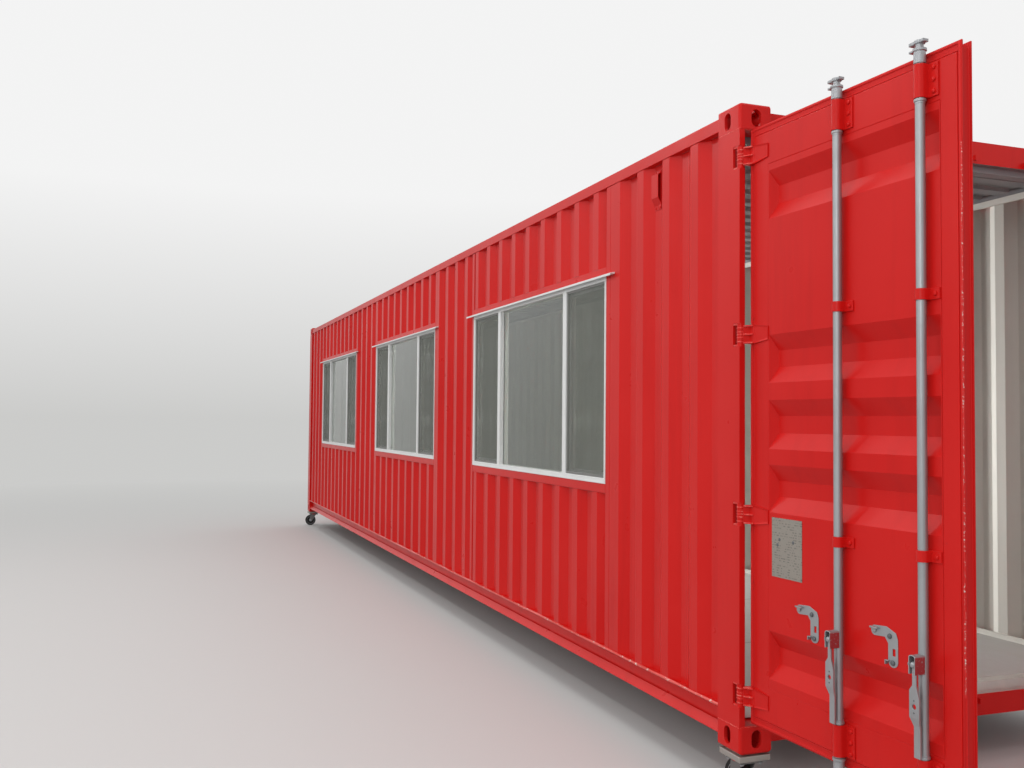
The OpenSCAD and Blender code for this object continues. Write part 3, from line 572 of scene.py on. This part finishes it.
def turned(profile, sides=28):
    """A round bar drawn upwards ring by ring from (radius, height) pairs."""
    deselect()
    radius, level = profile[0]
    bpy.ops.mesh.primitive_circle_add(vertices=sides, radius=radius, fill_type="NGON",
                                      location=(0, 0, level))
    obj = bpy.context.object
    bpy.ops.object.transform_apply(location=True)
    edit(obj)
    pick_all()
    for next_radius, next_level in profile[1:]:
        bpy.ops.mesh.extrude_region_move()
        push((0, 0, next_level - level))
        growth = next_radius / radius
        bpy.ops.transform.resize(value=(growth, growth, 1), center_override=(0, 0, next_level))
        radius, level = next_radius, next_level
    pick_all()
    bpy.ops.mesh.normals_make_consistent(inside=False)
    leave_edit()
    return obj


def block(low, high, soft=0.0, steps=2):
    """A rectangular bar between two corners, with its edges broken."""
    deselect()
    low, high = Vector(low), Vector(high)
    bpy.ops.mesh.primitive_cube_add(size=1, location=(low + high) / 2)
    obj = bpy.context.object
    obj.scale = high - low
    bpy.ops.object.transform_apply(location=True, scale=True)
    if soft:
        edit(obj)
        pick_all()
        bpy.ops.mesh.bevel(offset=soft, segments=steps, affect="EDGES")
        leave_edit()
    return obj


def side_block(side, along, out, rise, soft=0.0, steps=2):
    """A bar on one side of the container, between two distances along, out from its middle and up."""
    low_y, high_y = sorted(side * y for y in out)
    return block((SHIFT + along[0], low_y, STAND + rise[0]), (SHIFT + along[1], high_y, STAND + rise[1]),
                 soft, steps)


def flat_square(place, turn, scale):
    """A plane of the given size, turned upright, whose size and place are in its mesh."""
    deselect()
    bpy.ops.mesh.primitive_plane_add(size=1, location=place, rotation=turn)
    obj = bpy.context.object
    obj.scale = (*scale, 1)
    bpy.ops.object.transform_apply(location=True, rotation=True, scale=True)
    edit(obj)
    pick_all()
    return obj


def ring_strip(low, high, width, depth):
    """A flat rectangular frame in the plane of X and Z, of one bar width and depth."""
    low, high = Vector(low), Vector(high)
    strip = flat_square((low + high) / 2, (math.radians(90), 0, 0), (high.x - low.x, high.z - low.z))
    bpy.ops.mesh.inset(thickness=width, depth=0)
    bpy.ops.mesh.delete(type="FACE")
    pick_all()
    bpy.ops.mesh.extrude_region_move()
    push((0, depth, 0))
    pick_all()
    bpy.ops.mesh.normals_make_consistent(inside=False)
    leave_edit()
    soften(strip, 0.0015, 1, 60)
    return strip


def bead_ring(low, high, depth, radius):
    """A rubber bead that runs round a leaf, in the leaf's own axes."""
    middle = (depth, (low[0] + high[0]) / 2, (low[1] + high[1]) / 2)
    ring = flat_square(middle, (0, math.radians(90), 0), (high[1] - low[1], high[0] - low[0]))
    bpy.ops.mesh.delete(type="ONLY_FACE")
    leave_edit()
    bpy.ops.object.convert(target="CURVE")
    ring.data.bevel_depth = radius
    ring.data.bevel_resolution = 3
    bpy.ops.object.convert(target="MESH")
    return bpy.context.object


def weld_bead(start, end, radius, pitch=0.012, seed=1):
    """One run of weld, lumpy along its length."""
    start, end = Vector(start), Vector(end)
    run = end - start
    deselect()
    bpy.ops.mesh.primitive_cylinder_add(vertices=8, radius=radius, depth=run.length)
    bead = bpy.context.object
    edit(bead)
    pick(lambda c, d: abs(d.z) > run.length * 0.5, "edges")
    bpy.ops.mesh.subdivide(number_cuts=max(3, int(run.length / pitch)))
    pick_all()
    bpy.ops.transform.vertex_random(offset=radius * 0.3, normal=0.6, seed=seed)
    leave_edit()
    turn = run.to_track_quat("Z", "Y").to_matrix().to_4x4()
    bead.data.transform(Matrix.Translation((start + end) / 2) @ turn)
    return bead


def joined(objs):
    deselect()
    for obj in objs:
        obj.select_set(True)
    bpy.context.view_layer.objects.active = objs[0]
    bpy.ops.object.join()
    return objs[0]


def spread(master, places):
    """Copies a finished fastener or casting to its places and joins the copies."""
    made = []
    for place in places:
        one = own_copy(master)
        one.data.transform(place @ master.matrix_world)
        if place.determinant() < 0:
            one.data.flip_normals()
        one.matrix_world = Matrix.Identity(4)
        made.append(one)
    bpy.data.objects.remove(master)
    return joined(made)


def turn_of(degrees, axis):
    return Matrix.Rotation(math.radians(degrees), 4, axis)


OUTWARD = turn_of(90, "Y")


def leaf_turn(side=-1):
    """From a door's own axes to the open door, on the left (-1) or mirrored on the right (1)."""
    turn = Matrix.Translation(PIN) @ Matrix.Rotation(-OPEN, 4, "Z")
    return turn if side < 0 else Matrix.Scale(-1, 4, (0, 1, 0)) @ turn


def on_leaf(d, s, z, side=-1):
    return leaf_turn(side) @ Matrix.Translation((d, s, z + STAND))


# The container

def cast_corners():
    """The eight castings, with wide outer edges and small ones at their holes."""
    obj = clean_copy("corner_castings")

    def outermost(face):
        off = face.calc_center_median() - MIDDLE
        return any(abs(face.normal[axis]) > 0.99 and abs(abs(off[axis]) - HALF_SIZE[axis]) < 0.0005
                   for axis in range(3))

    def outer_corner(edge):
        return all(outermost(face) for face in edge.link_faces) and edge.calc_face_angle(0) > 1

    bevel_where(obj, outer_corner, 0.014, 5)
    soften(obj, 0.003, 2, 50)
    take_over(obj, "corner_castings", "cast_corners")


def wave_start(wave):
    """Where a wave of the long walls starts, along X."""
    return SHIFT + WAVE_START + wave * WAVE_PITCH


def vent_boxes():
    """The ventilator covers with a recess along one side, whose back is painted dark as painted shade, so
    that it reads as an open slot.
    """
    obj = clean_copy("ventilators")
    edit(obj)
    pick(lambda c, n: n.x > 0.9)
    bpy.ops.mesh.inset(thickness=0.0035, depth=0)
    bpy.ops.mesh.inset(thickness=0.0004, depth=-VENT_SLOT)
    leave_edit()
    backs = [wave_start(wave) + INNER_FLAT[1] - VENT_SLOT for _, wave in VENTS]
    lined(obj, slot_shade, lambda c, n: n.x > 0.9 and min(abs(c.x - back) for back in backs) < 0.004)
    soften(obj, 0.0012, 2)
    take_over(obj, "ventilators", "ventilator_boxes")


def steelwork():
    """Folded, cast and rolled steel with its real soft edges."""
    cast_corners()
    vent_boxes()
    made = {}
    for node, name, width in (
            ("door_post_left", "left_door_post", 0.003), ("door_post_right", "right_door_post", 0.003),
            ("front_posts", "blind_end_posts", 0.005), ("bottom_rails", "lower_side_rails", 0.004),
            ("door_header", "header_beam", 0.004), ("door_sill", "sill_beam", 0.004),
            ("front_beams", "blind_end_beams", 0.004), ("window_rails", "window_cross_tubes", 0.004),
            ("window_posts", "window_upright_tubes", 0.004), ("door_left_frame", "left_leaf_tubes", 0.004),
            ("door_right_frame", "right_leaf_tubes", 0.004), ("door_left_brackets", "left_rod_covers", 0.003),
            ("door_right_brackets", "right_rod_covers", 0.003),
            ("door_left_retainers", "left_handle_hooks", 0.001),
            ("door_left_gasket", "left_leaf_gasket", 0.0035),
            ("door_right_gasket", "right_leaf_gasket", 0.0035), ("drip_caps", "drip_mouldings", 0.002),
            ("handle_inner", "inner_hand_lever", 0.0018), ("handle_outer", "outer_hand_lever", 0.0018),
            ("window_frames", "vinyl_frames", 0.003), ("window_sashes", "vinyl_sashes", 0.002)):
        made[node] = rounded(node, name, width)
    wall_lines = [((0, side * 1.175, 0), (0, 1, 0)) for side in (-1, 1)]
    made["top_rails"] = rounded("top_rails", "upper_side_rails", 0.005, cuts=wall_lines)
    for node, name, width in (
            ("side_wall_right", "plain_side_sheet", 0.012), ("side_wall_left_piers", "pier_sheets", 0.012),
            ("side_wall_left_heads", "head_sheets", 0.012),
            ("side_wall_left_sills", "parapet_sheets", 0.012), ("front_wall", "blind_end_sheet", 0.01),
            ("door_left_panel", "left_leaf_sheet", 0.01), ("door_right_panel", "right_leaf_sheet", 0.01)):
        made[node] = folded(node, name, width)
    paint_room(made)


def paint_room(made):
    """The lining, the ceiling and the worn threshold, on the faces that look into the room."""
    lined(made["side_wall_right"], lining_paint, lambda c, n: n.y < -0.3)
    lined(made["front_wall"], lining_paint, lambda c, n: n.x > 0.3)
    lined(made["front_posts"], lining_paint,
          lambda c, n: n.x > 0.3 and c.x < SHIFT - 6.05 and abs(c.y) < 1.16)
    lined(made["bottom_rails"], lining_paint, lambda c, n: c.y * n.y < -0.3 and abs(c.y) < 1.17)
    for node in ("side_wall_left_piers", "side_wall_left_heads", "side_wall_left_sills", "window_posts",
                 "window_rails"):
        lined(made[node], lining_paint, lambda c, n: n.y > 0.3)
    lined(made["top_rails"], ceiling_paint,
          lambda c, n: abs(c.y) < 1.1755 and (n.z < -0.3 or c.y * n.y < -0.3 * abs(c.y)))
    lined(nodes["roof"], ceiling_paint, lambda c, n: n.z < -0.3)
    lined(made["door_header"], ceiling_paint,
          lambda c, n: (c.z < STAND + HEADER_STEPS[0] or n.x < -0.5
                        or c.z < STAND + HEADER_STEPS[1] and n.z < -0.3))
    lined(made["door_sill"], threshold_steel,
          lambda c, n: c.z > STAND + SILL_STEPS[1] or c.z > STAND + SILL_STEPS[0] and n.z > 0.3)


def casting_seams():
    """Weld seams between the castings and the posts, along the side and across the end, in a light red with
    pale flakes as painted highlight.
    """
    seams = []
    for end in (-1, 1):
        near, far = SHIFT + end * (RAIL_REACH + 0.001), SHIFT + end * (HALF_LENGTH - 0.0065)
        for side in (-1, 1):
            outer, inner = side * (HALF_WIDTH - 0.0025), side * (HALF_WIDTH - 0.159)
            for level in (STAND + CASTING_HEIGHT + 0.0005, STAND + HEIGHT - CASTING_HEIGHT - 0.0005):
                for start, stop in (((near, outer), (far, outer)), ((far, outer), (far, inner))):
                    seams.append(weld_bead((*start, level), (*stop, level), 0.0035, seed=len(seams)))
    settle(joined(seams), "casting_weld_seams", edge_highlight_red, "container")


def rail_beads():
    """The rough bead between each side sheet and its lower rail, in a light red with pale flakes as painted
    highlight.
    """
    out, level = SHEET_FACE + 0.0015, STAND + SHEET_LEVELS[0] + 0.0005
    beads = [weld_bead((SHIFT - RAIL_REACH, side * out, level), (SHIFT + RAIL_REACH, side * out, level),
                       0.0065, 0.02, 3 + side) for side in (-1, 1)]
    settle(joined(beads), "lower_rail_beads", bead_highlight_red, "container")


def closing_strips():
    """Narrow strips that close the ends of the side sheets."""
    pier = (WINDOW_CENTRES[0] + WINDOW_HALF + 0.0565, WAVE_START + 0.004)
    corner = (-RAIL_REACH - 0.0015, -RAIL_REACH + 0.002)
    corner_depth, corner_rise = (1.1715, 1.217), (CASTING_HEIGHT + 0.001, SHEET_LEVELS[1])
    strips = [side_block(-1, pier, (SHEET_FACE - 0.0035, SHEET_FACE), SHEET_LEVELS, STRIP_EDGE, 1)]
    strips += [side_block(side, corner, corner_depth, corner_rise, STRIP_EDGE, 1) for side in (-1, 1)]
    settle(joined(strips), "wall_closing_strips", red_paint, "container")


def rail_fillets():
    """Sloping fillets along the outside of both lower rails."""
    reach, out, rise, drop = RAIL_REACH - 0.001, (1.180, 1.2115), (0.052, 0.088), 0.0345
    slopes = []
    for side in (-1, 1):
        slope = side_block(side, (-reach, reach), out, rise)
        push_points(slope, lambda c, n: c.z > STAND + 0.08 and abs(c.y) > 1.2, (0, 0, -drop))
        slopes.append(slope)
    settle(joined(slopes), "lower_rail_fillets", red_paint, "container")


def room_trims():
    """Straight trims along the top and foot of both side sheets in the room."""
    trims = []
    for side in (-1, 1):
        for out, rise, border in (((1.1490, 1.1560), (2.796, 2.836), 0.010),
                                  ((1.161, 1.1708), (0.1725, 0.206), 0.007)):
            trim = side_block(side, (-5.9, 5.915), out, rise)
            edit(trim)
            pick(lambda c, n: c.y * n.y < -0.9)
            bpy.ops.mesh.inset(thickness=border, depth=-0.003)
            leave_edit()
            soften(trim, 0.0012, 1)
            trims.append(trim)
    settle(joined(trims), "room_trims", lining_paint, "container")


def window_trims():
    """Outer flanges of the vinyl frames and the metal frames of the screens."""
    low_level, high_level = (STAND + level for level in WINDOW_LEVELS)
    flange_y, screen_y = -1.2118, -1.2005
    screen_inset, screen_width = 0.024, 0.555
    flanges, bars = [], []
    for centre in WINDOW_CENTRES:
        left, right = SHIFT + centre - WINDOW_HALF, SHIFT + centre + WINDOW_HALF
        flanges.append(ring_strip((left, flange_y, low_level), (right, flange_y, high_level), 0.011, 0.004))
        for low in (left + screen_inset, right - screen_inset - screen_width):
            bars.append(ring_strip((low, screen_y, low_level + 0.032),
                                   (low + screen_width, screen_y, high_level - screen_inset), 0.013, 0.015))
    settle(joined(flanges), "window_frame_flanges", vinyl, "container")
    settle(joined(bars), "screen_frames", screen_metal, "container")


# Doors and their gear

def round_bolt(radius=0.009, height=0.006):
    """A low head with a rounded edge."""
    return turned(((radius, 0), (radius, height * 0.35), (radius * 0.86, height * 0.75),
                   (radius * 0.5, height)), 12)


def hex_bolt(radius, height):
    """A six sided head on its washer."""
    bolt = turned(((radius * 1.35, 0), (radius * 1.35, height * 0.25), (radius * 1.3, height * 0.25)), 20)
    edit(bolt)
    bpy.ops.mesh.primitive_cylinder_add(vertices=6, radius=radius, depth=height * 0.8,
                                        location=(0, 0, height * 0.62))
    leave_edit()
    return bolt


def clevis():
    """A strap folded over the hand lever, with the rivet that holds it."""
    strap = block((0.010, -0.0135, -0.032), (0.056, 0.0175, 0.034))
    coat(strap, galvanised)
    edit(strap)
    pick(lambda c, n: abs(n.x) > 0.9 or n.z < -0.9)
    bpy.ops.mesh.delete(type="FACE")
    pick(lambda c, d: c.z > 0.033 and abs(d.x) > 0.01, "edges")
    bpy.ops.mesh.bevel(offset=0.0105, segments=5, affect="EDGES")
    leave_edit()
    sheet = strap.modifiers.new("sheet", "SOLIDIFY")
    sheet.thickness = 0.0038
    sheet.offset = -1
    apply_all(strap)
    soften(strap, 0.0008, 1)
    lined(strap, sprayed_zinc, lambda c, n: c.y > 0.0165 and n.y > 0.5)
    rivet = turned(((0.005, -0.0158), (0.008, -0.0152), (0.009, -0.0135), (0.006, -0.0132), (0.006, 0.0175),
                    (0.0085, 0.0178), (0.0078, 0.0200), (0.005, 0.0212)), 16)
    coat(rivet, galvanised)
    rivet.data.transform(Matrix.Translation((0.045, 0, 0)) @ turn_of(90, "X"))
    made = joined([strap, rivet])
    made.data.transform(Matrix.Translation((0, 0, LEVER_LEVEL)))
    return made


def lock_rod():
    """A galvanised bar with its cams, guide rings, clevis and rivet."""
    profile = ((0.016, 0.092), (0.019, 0.094), (0.019, 0.104), (0.014, 0.107), (0.014, 0.114), (0.023, 0.116),
               (0.023, 0.123), (0.0205, 0.127), (0.0212, 0.168), (0.0245, 0.171), (0.0245, 0.179),
               (0.017, 0.182), (0.017, 0.308), (0.0205, 0.3085), (0.0215, 0.313), (0.0205, 0.3175),
               (0.0182, 0.319), (0.0182, 0.325), (0.017, 0.3255), (0.017, 2.587), (0.0182, 2.5875),
               (0.0182, 2.593), (0.0205, 2.5945), (0.0215, 2.599), (0.0205, 2.6035), (0.017, 2.604),
               (0.017, 2.73), (0.0212, 2.731), (0.0205, 2.772), (0.0245, 2.775), (0.0245, 2.783),
               (0.014, 2.786), (0.014, 2.799), (0.019, 2.802), (0.019, 2.812), (0.016, 2.814))
    parts = [turned(profile, 32)]
    coat(parts[0], galvanised)
    horns = [(low, high, -1, 0.04, 0.6) for low, high in
             ((0.0925, 0.1045), (0.113, 0.121), (2.776, 2.784), (2.801, 2.8135))]
    horns += [(low, high, 1, 0.03, 0.5) for low, high in ((0.093, 0.104), (2.8015, 2.813))]
    for low, high, way, reach, tip in horns:
        horn = block((-0.013, min(0, way * reach), low), (0.013, max(0, way * reach), high), 0.0022)
        coat(horn, galvanised)
        edit(horn)
        pick(lambda c, n: n.y * way > 0.9)
        bpy.ops.transform.resize(value=(tip, 1, 0.8))
        leave_edit()
        parts.append(horn)
    return joined(parts + [clevis()])


def lock_gear():
    """The two turning rods of the left leaf, and the fixed gear of the right one."""
    for key, place in ROD_PLACES.items():
        rod = lock_rod()
        rod.data.transform(on_leaf(-ROD_RECESS, place, 0))
        settle(rod, key + "_lock_rod", None, "rod_" + key)
        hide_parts("lock_rod_" + key)
    pair = spread(lock_rod(), [on_leaf(-ROD_RECESS, place, 0, 1) for place in ROD_PLACES.values()])
    levers = clean_copy("door_right_lock_gear")
    soften(levers, 0.0018, 2)
    gear = joined([levers, pair])
    settle(gear, "right_leaf_lock_gear", None, "container")
    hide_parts("door_right_lock_gear")


def leaf_trims():
    """Round lips of the gasket and the knocked free edge of the leaf."""
    for side, name, body in LEAVES:
        lips = joined([bead_ring((0.0325, 0.1475), (1.189, 2.7625), -0.0395, 0.009),
                       bead_ring((0.0535, 0.1735), (1.1865, 2.7365), -0.0375, 0.005)])
        lips.data.transform(on_leaf(0, 0, 0, side))
        if side > 0:
            lips.data.flip_normals()
        settle(lips, name + "_gasket_lips", rubber, body, 60)
    edge = weld_bead((-0.0345, 1.1945, 0.55), (-0.0345, 1.1945, 2.42), 0.0028, 0.03, 7)
    edge.data.transform(on_leaf(0, 0, 0))
    settle(edge, "chipped_leaf_edge", chipped_edge, "door_left")


def cover_bolts():
    """Bolts of the rod covers: three on a tall cover, one on a low one."""
    for side, name, body in LEAVES:
        places = []
        for at in ROD_PLACES.values():
            for low, tall in COVER_LEVELS:
                heights = (0.018, tall / 2, tall - 0.018) if tall > 0.1 else (tall / 2,)
                places += [on_leaf(FACE + 0.006, at + COVER_BOLTS_AT, low + h, side) @ OUTWARD
                           for h in heights]
        settle(spread(round_bolt(0.009, 0.007), places), name + "_cover_bolts", red_paint, body)


def hook_fittings():
    """Bolts, rivets and bent tabs of the hooks that hold the hand levers."""
    def on_hooks(*spots):
        return [on_leaf(FACE + 0.003, at + HOOK_AT + s, HOOK_LEVEL + z) @ OUTWARD
                for at in ROD_PLACES.values() for s, z in spots]

    settle(spread(round_bolt(0.010), on_hooks((-0.015, 0.111), (0.0, 0.017))), "left_hook_bolts",
           dark_steel, "door_left")
    settle(spread(round_bolt(), on_hooks((-0.09, 0.119))), "left_hook_rivets", galvanised, "door_left")
    tabs = []
    for at in ROD_PLACES.values():
        for low, high in (((FACE, -0.104, 0.127), (FACE + 0.017, -0.066, 0.1335)),
                          ((FACE, -0.030, 0.022), (FACE + 0.015, -0.012, 0.0255)),
                          ((FACE, -0.030, 0.009), (FACE + 0.015, -0.0265, 0.0255))):
            tab = block(low, high, 0.0012)
            tab.data.transform(on_leaf(0, at + HOOK_AT, HOOK_LEVEL))
            tabs.append(tab)
    settle(joined(tabs), "left_hook_tabs", galvanised, "door_left")


def plate_fittings():
    """Rivets in the corners of the data plate and three studs on its face."""
    corners = [on_leaf(FACE + 0.0015, s, z) @ OUTWARD
               for s in (PLATE_SPAN[0] + 0.010, PLATE_SPAN[1] - 0.010)
               for z in (PLATE_LEVELS[0] + 0.010, PLATE_LEVELS[1] - 0.010)]
    settle(spread(round_bolt(0.004, 0.003), corners), "data_plate_rivets", plate_metal, "door_left")
    marks = [on_leaf(FACE + 0.0015, s, z) @ OUTWARD for s, z in PLATE_STUDS]
    settle(spread(round_bolt(0.0075, 0.002), marks), "data_plate_studs", dark_steel, "door_left")


def lever_dots():
    """Two dark round discs on each hand lever of the left leaf, painted shade that stands for two small
    pressed dimples.
    """
    out, level = 0.0448, 0.49
    for key, at in ROD_PLACES.items():
        dots = [on_leaf(out, at + LEVER_AT, level + z) @ OUTWARD for z in (-0.021, 0.021)]
        settle(spread(round_bolt(0.0035, 0.0012), dots), key + "_lever_dots", dark_steel, "handle_" + key)


def ventilator_screws():
    """Four screws at the corners of each ventilator."""
    out, columns, rows = 1.1765, (0.012, 0.058), (2.585, 2.773)
    screws = [Matrix.Translation((wave_start(wave) + INNER_FLAT[0] + x, side * out, STAND + z)) @
              turn_of(-90 * side, "X") for side, wave in VENTS for x in columns for z in rows]
    settle(spread(round_bolt(0.007, 0.004), screws), "ventilator_screws", red_paint, "container")


def hinge_blades(node, name, side):
    """The CAD's hinge blades, thinned towards their tips and pressed hollow between their rims."""
    obj = clean_copy(node)
    own = leaf_turn(side)
    obj.data.transform(own.inverted())
    edit(obj)
    pick_all()
    bpy.ops.mesh.bisect(plane_co=(0, 0.0602, 0), plane_no=(0, 1, 0))
    pick(lambda c, n: c.y > 0.145 and c.x > -0.0225, "verts")
    push((-0.0055, 0, 0))
    pick(lambda c, n: c.y > 0.075 and c.x > -0.0285 and abs(n.x) > 0.7)
    bpy.ops.mesh.inset(thickness=0.0075, depth=0, use_individual=True)
    push((-0.0032, 0, 0))
    leave_edit()
    obj.data.transform(own)
    soften(obj, 0.0015, 2, 12)
    take_over(obj, node, name)


def knuckle_ring(level):
    """A ring round the hinge pin between two knuckles."""
    ring = turned(((0.0168, -0.003), (0.0186, -0.002), (0.0186, 0.002), (0.0168, 0.003)), 24)
    ring.data.transform(Matrix.Translation((0, 0, level)))
    return ring


def hinge_ribs():
    """Webs at the roots of the hinge blades, rings on the knuckles and lugs of the post, all in a light red
    as painted highlight.
    """
    hinge_blades("door_left_hinges", "left_hinge_blades", -1)
    hinge_blades("door_right_hinges", "right_hinge_blades", 1)
    for side, name, body in LEAVES:
        places = [on_leaf(0, 0, level, side) for level in HINGE_LEVELS]
        webs = []
        for level in (-0.0375, 0.0, 0.0375):
            web = block((-0.0205, 0.0255, level - 0.003), (0.0065, 0.060, level + 0.003))
            push_points(web, lambda c, n: c.x > 0 and c.y > 0.05, (-0.0215, 0.004, 0))
            soften(web, 0.0014, 2)
            webs.append(web)
        webs += [knuckle_ring(level) for level in (-0.0125, 0.0, 0.0125)]
        settle(spread(joined(webs), places), name + "_hinge_ribs", edge_highlight_red, body)
        lugs = []
        for way in (-1, 1):
            ear = way * 0.0468
            lugs += [knuckle_ring(way * 0.031),
                     block((-0.014, -0.0355, ear - 0.0033), (0.0155, 0.004, ear + 0.0033), 0.0012)]
        settle(spread(joined(lugs), places), name + "_hinge_lugs", edge_highlight_red, "container")


# Castors

def wheel():
    """A solid rubber tyre, and its steel rim with a hub."""
    tyre_part = turned(((0.058, -0.018), (0.066, -0.0235), (0.0745, -0.0245), (0.0785, -0.02),
                        (0.08, -0.012), (0.08, 0.012), (0.0785, 0.02), (0.0745, 0.0245), (0.066, 0.0235),
                        (0.058, 0.018)), 40)
    rim = turned(((0.03, -0.006), (0.05, -0.008), (0.057, -0.019), (0.0595, -0.019), (0.0595, 0.019),
                  (0.057, 0.019), (0.05, 0.008), (0.03, 0.006)), 40)
    hub = turned(((0.014, -0.025), (0.019, -0.0245), (0.021, -0.02), (0.03, -0.009), (0.03, 0.009),
                  (0.021, 0.02), (0.019, 0.0245), (0.014, 0.025)), 24)
    return tyre_part, joined([rim, hub])


def castor_places():
    """The four swivels; the two at the blind end are turned across the cabin."""
    places = []
    for side in (-1, 1):
        places.append(Matrix.Translation((SHIFT + CASTOR_X, side * CASTOR_Y, STAND)))
        places.append(Matrix.Translation((SHIFT - CASTOR_X, side * CASTOR_Y, STAND)) @
                      turn_of(-FAR_SWIVEL * side, "Z"))
    return places


def castors():
    swivels = castor_places()
    wheels = [place @ Matrix.Translation((-CASTOR_TRAIL, 0, AXLE_HEIGHT - STAND)) @ turn_of(90, "X")
              for place in swivels]
    tyre_part, rim = wheel()
    tyres = spread(tyre_part, wheels)
    settle(tyres, "castor_tyres", tyre, "container")
    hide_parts("caster_wheels")
    settle(spread(rim, wheels), "castor_rims", galvanised, "container")
    coat(rounded("caster_forks", "castor_forks", 0.002), fork_zinc)
    coat(rounded("caster_brackets", "castor_top_plates", 0.003), castor_zinc)
    nut_places = [place @ Matrix.Translation((-CASTOR_TRAIL, side * 0.043, AXLE_HEIGHT - STAND)) @
                  turn_of(-90 * side, "X") for place in swivels for side in (-1, 1)]
    settle(spread(hex_bolt(0.012, 0.01), nut_places), "castor_axle_nuts", galvanised, "container")
    ring = turned(((0.051, -0.050), (0.057, -0.049), (0.059, -0.046), (0.059, -0.040), (0.056, -0.036),
                   (0.051, -0.034), (0.045, -0.034)), 40)
    settle(spread(ring, swivels), "castor_swivel_rings", red_paint, "container")
    bolt_places = [place @ Matrix.Translation((x * 0.052, y * 0.047, -0.050)) @ turn_of(180, "X")
                   for place in swivels for x in (-1, 1) for y in (-1, 1)]
    settle(spread(hex_bolt(0.009, 0.007), bolt_places), "castor_plate_bolts", galvanised, "container")


# The studio

def shot_camera():
    """The camera of the picture: turned to its yaw and pitch, then rolled."""
    yaw, pitch, roll = (math.radians(angle) for angle in VIEW_ANGLES)
    ahead = Vector((-math.sin(yaw) * math.cos(pitch), math.cos(yaw) * math.cos(pitch), math.sin(pitch)))
    right = Vector((math.cos(yaw), math.sin(yaw), 0))
    up = right.cross(ahead)
    right, up = (math.cos(roll) * right + math.sin(roll) * up,
                 math.cos(roll) * up - math.sin(roll) * right)
    data = bpy.data.cameras.new("shot_camera")
    data.sensor_width = SENSOR_WIDTH
    data.lens = LENS
    data.clip_start = 0.05
    data.clip_end = 400
    camera = bpy.data.objects.new("shot_camera", data)
    bpy.context.scene.collection.objects.link(camera)
    x, y, z = VIEWPOINT
    turn = Matrix((right, up, -ahead)).transposed().to_4x4()
    camera.matrix_world = Matrix.Translation((x + SHIFT, y, z + STAND)) @ turn
    bpy.context.scene.camera = camera


def seen(tree):
    """1 for camera, glossy and transmission rays, 0 for those that only carry light."""
    ray = put(tree, "ShaderNodeLightPath")
    shown = sums(tree, "MAXIMUM", ray.outputs["Is Camera Ray"], ray.outputs["Is Glossy Ray"])
    return sums(tree, "MAXIMUM", shown, ray.outputs["Is Transmission Ray"])


def blend_shaders(tree, share, low, high, output):
    made = put(tree, "ShaderNodeMixShader", {"Fac": share, 1: low.outputs[0], 2: high.outputs[0]})
    tree.links.new(made.outputs[0], tree.nodes[output].inputs["Surface"])


def studio_floor():
    """A pale floor that fades into the horizon."""
    deselect()
    bpy.ops.mesh.primitive_plane_add(size=240, location=(0, 0, 0))
    floor = bpy.context.object
    floor.name = "studio_floor"
    material, tree, shader = finish_tree("studio_floor")
    shown = seen(tree)
    tone = blend_colours(tree, shown, (0.36, 0.36, 0.36), (0.66, 0.66, 0.65))
    surface(tree, shader, {"Base Color": tone, "Roughness": 0.85, "Specular IOR Level": 0.1})
    place = put(tree, "ShaderNodeTexCoord").outputs["Object"]
    away = put(tree, "ShaderNodeVectorMath", {0: place}, operation="LENGTH").outputs["Value"]
    haze = put(tree, "ShaderNodeMapRange", {"Value": away, "From Min": 6.0, "From Max": 19.0})
    distant = put(tree, "ShaderNodeEmission", {"Color": (*HORIZON, 1), "Strength": 1.0})
    share = sums(tree, "MULTIPLY", haze.outputs[0], shown)
    blend_shaders(tree, share, shader, distant, "Material Output")
    floor.data.materials.append(material)


def studio_world():
    """Even white light from all sides, behind a pale backdrop."""
    world = bpy.data.worlds.new("studio_world")
    bpy.context.scene.world = world
    world.use_nodes = True
    sky = world.node_tree
    light = sky.nodes["Background"]
    surface(sky, light, {"Color": (1, 1, 1, 1), "Strength": 0.73})
    place = put(sky, "ShaderNodeTexCoord").outputs["Generated"]
    height = put(sky, "ShaderNodeSeparateXYZ", {"Vector": place}).outputs["Z"]
    backdrop = put(sky, "ShaderNodeBackground", {"Color": ramp(sky, height, 0.0, HORIZON, 0.22, ZENITH),
                                                 "Strength": 1.0})
    blend_shaders(sky, seen(sky), light, backdrop, "World Output")


def studio_lamps():
    """Area lamps that the camera doesn't see; the room lamp isn't reflected or seen through glass."""
    for name, place, aim, size, power, spread_angle in LAMPS:
        data = bpy.data.lights.new(name, "AREA")
        data.shape = "RECTANGLE"
        data.size, data.size_y = size
        data.energy = power
        data.spread = math.radians(spread_angle)
        lamp = bpy.data.objects.new(name, data)
        bpy.context.scene.collection.objects.link(lamp)
        lamp.location = place
        lamp.rotation_euler = (Vector(aim) - Vector(place)).to_track_quat("-Z", "Y").to_euler()
        lamp.visible_camera = False
        lamp.visible_glossy = lamp.visible_transmission = name != "room_lamp"


coat_nodes()
steelwork()
lock_gear()
castors()
casting_seams()
rail_beads()
closing_strips()
rail_fillets()
room_trims()
window_trims()
leaf_trims()
cover_bolts()
hook_fittings()
plate_fittings()
lever_dots()
ventilator_screws()
hinge_ribs()
shot_camera()
studio_floor()
studio_world()
studio_lamps()
bpy.context.scene.view_settings.view_transform = "Standard"

deselect()
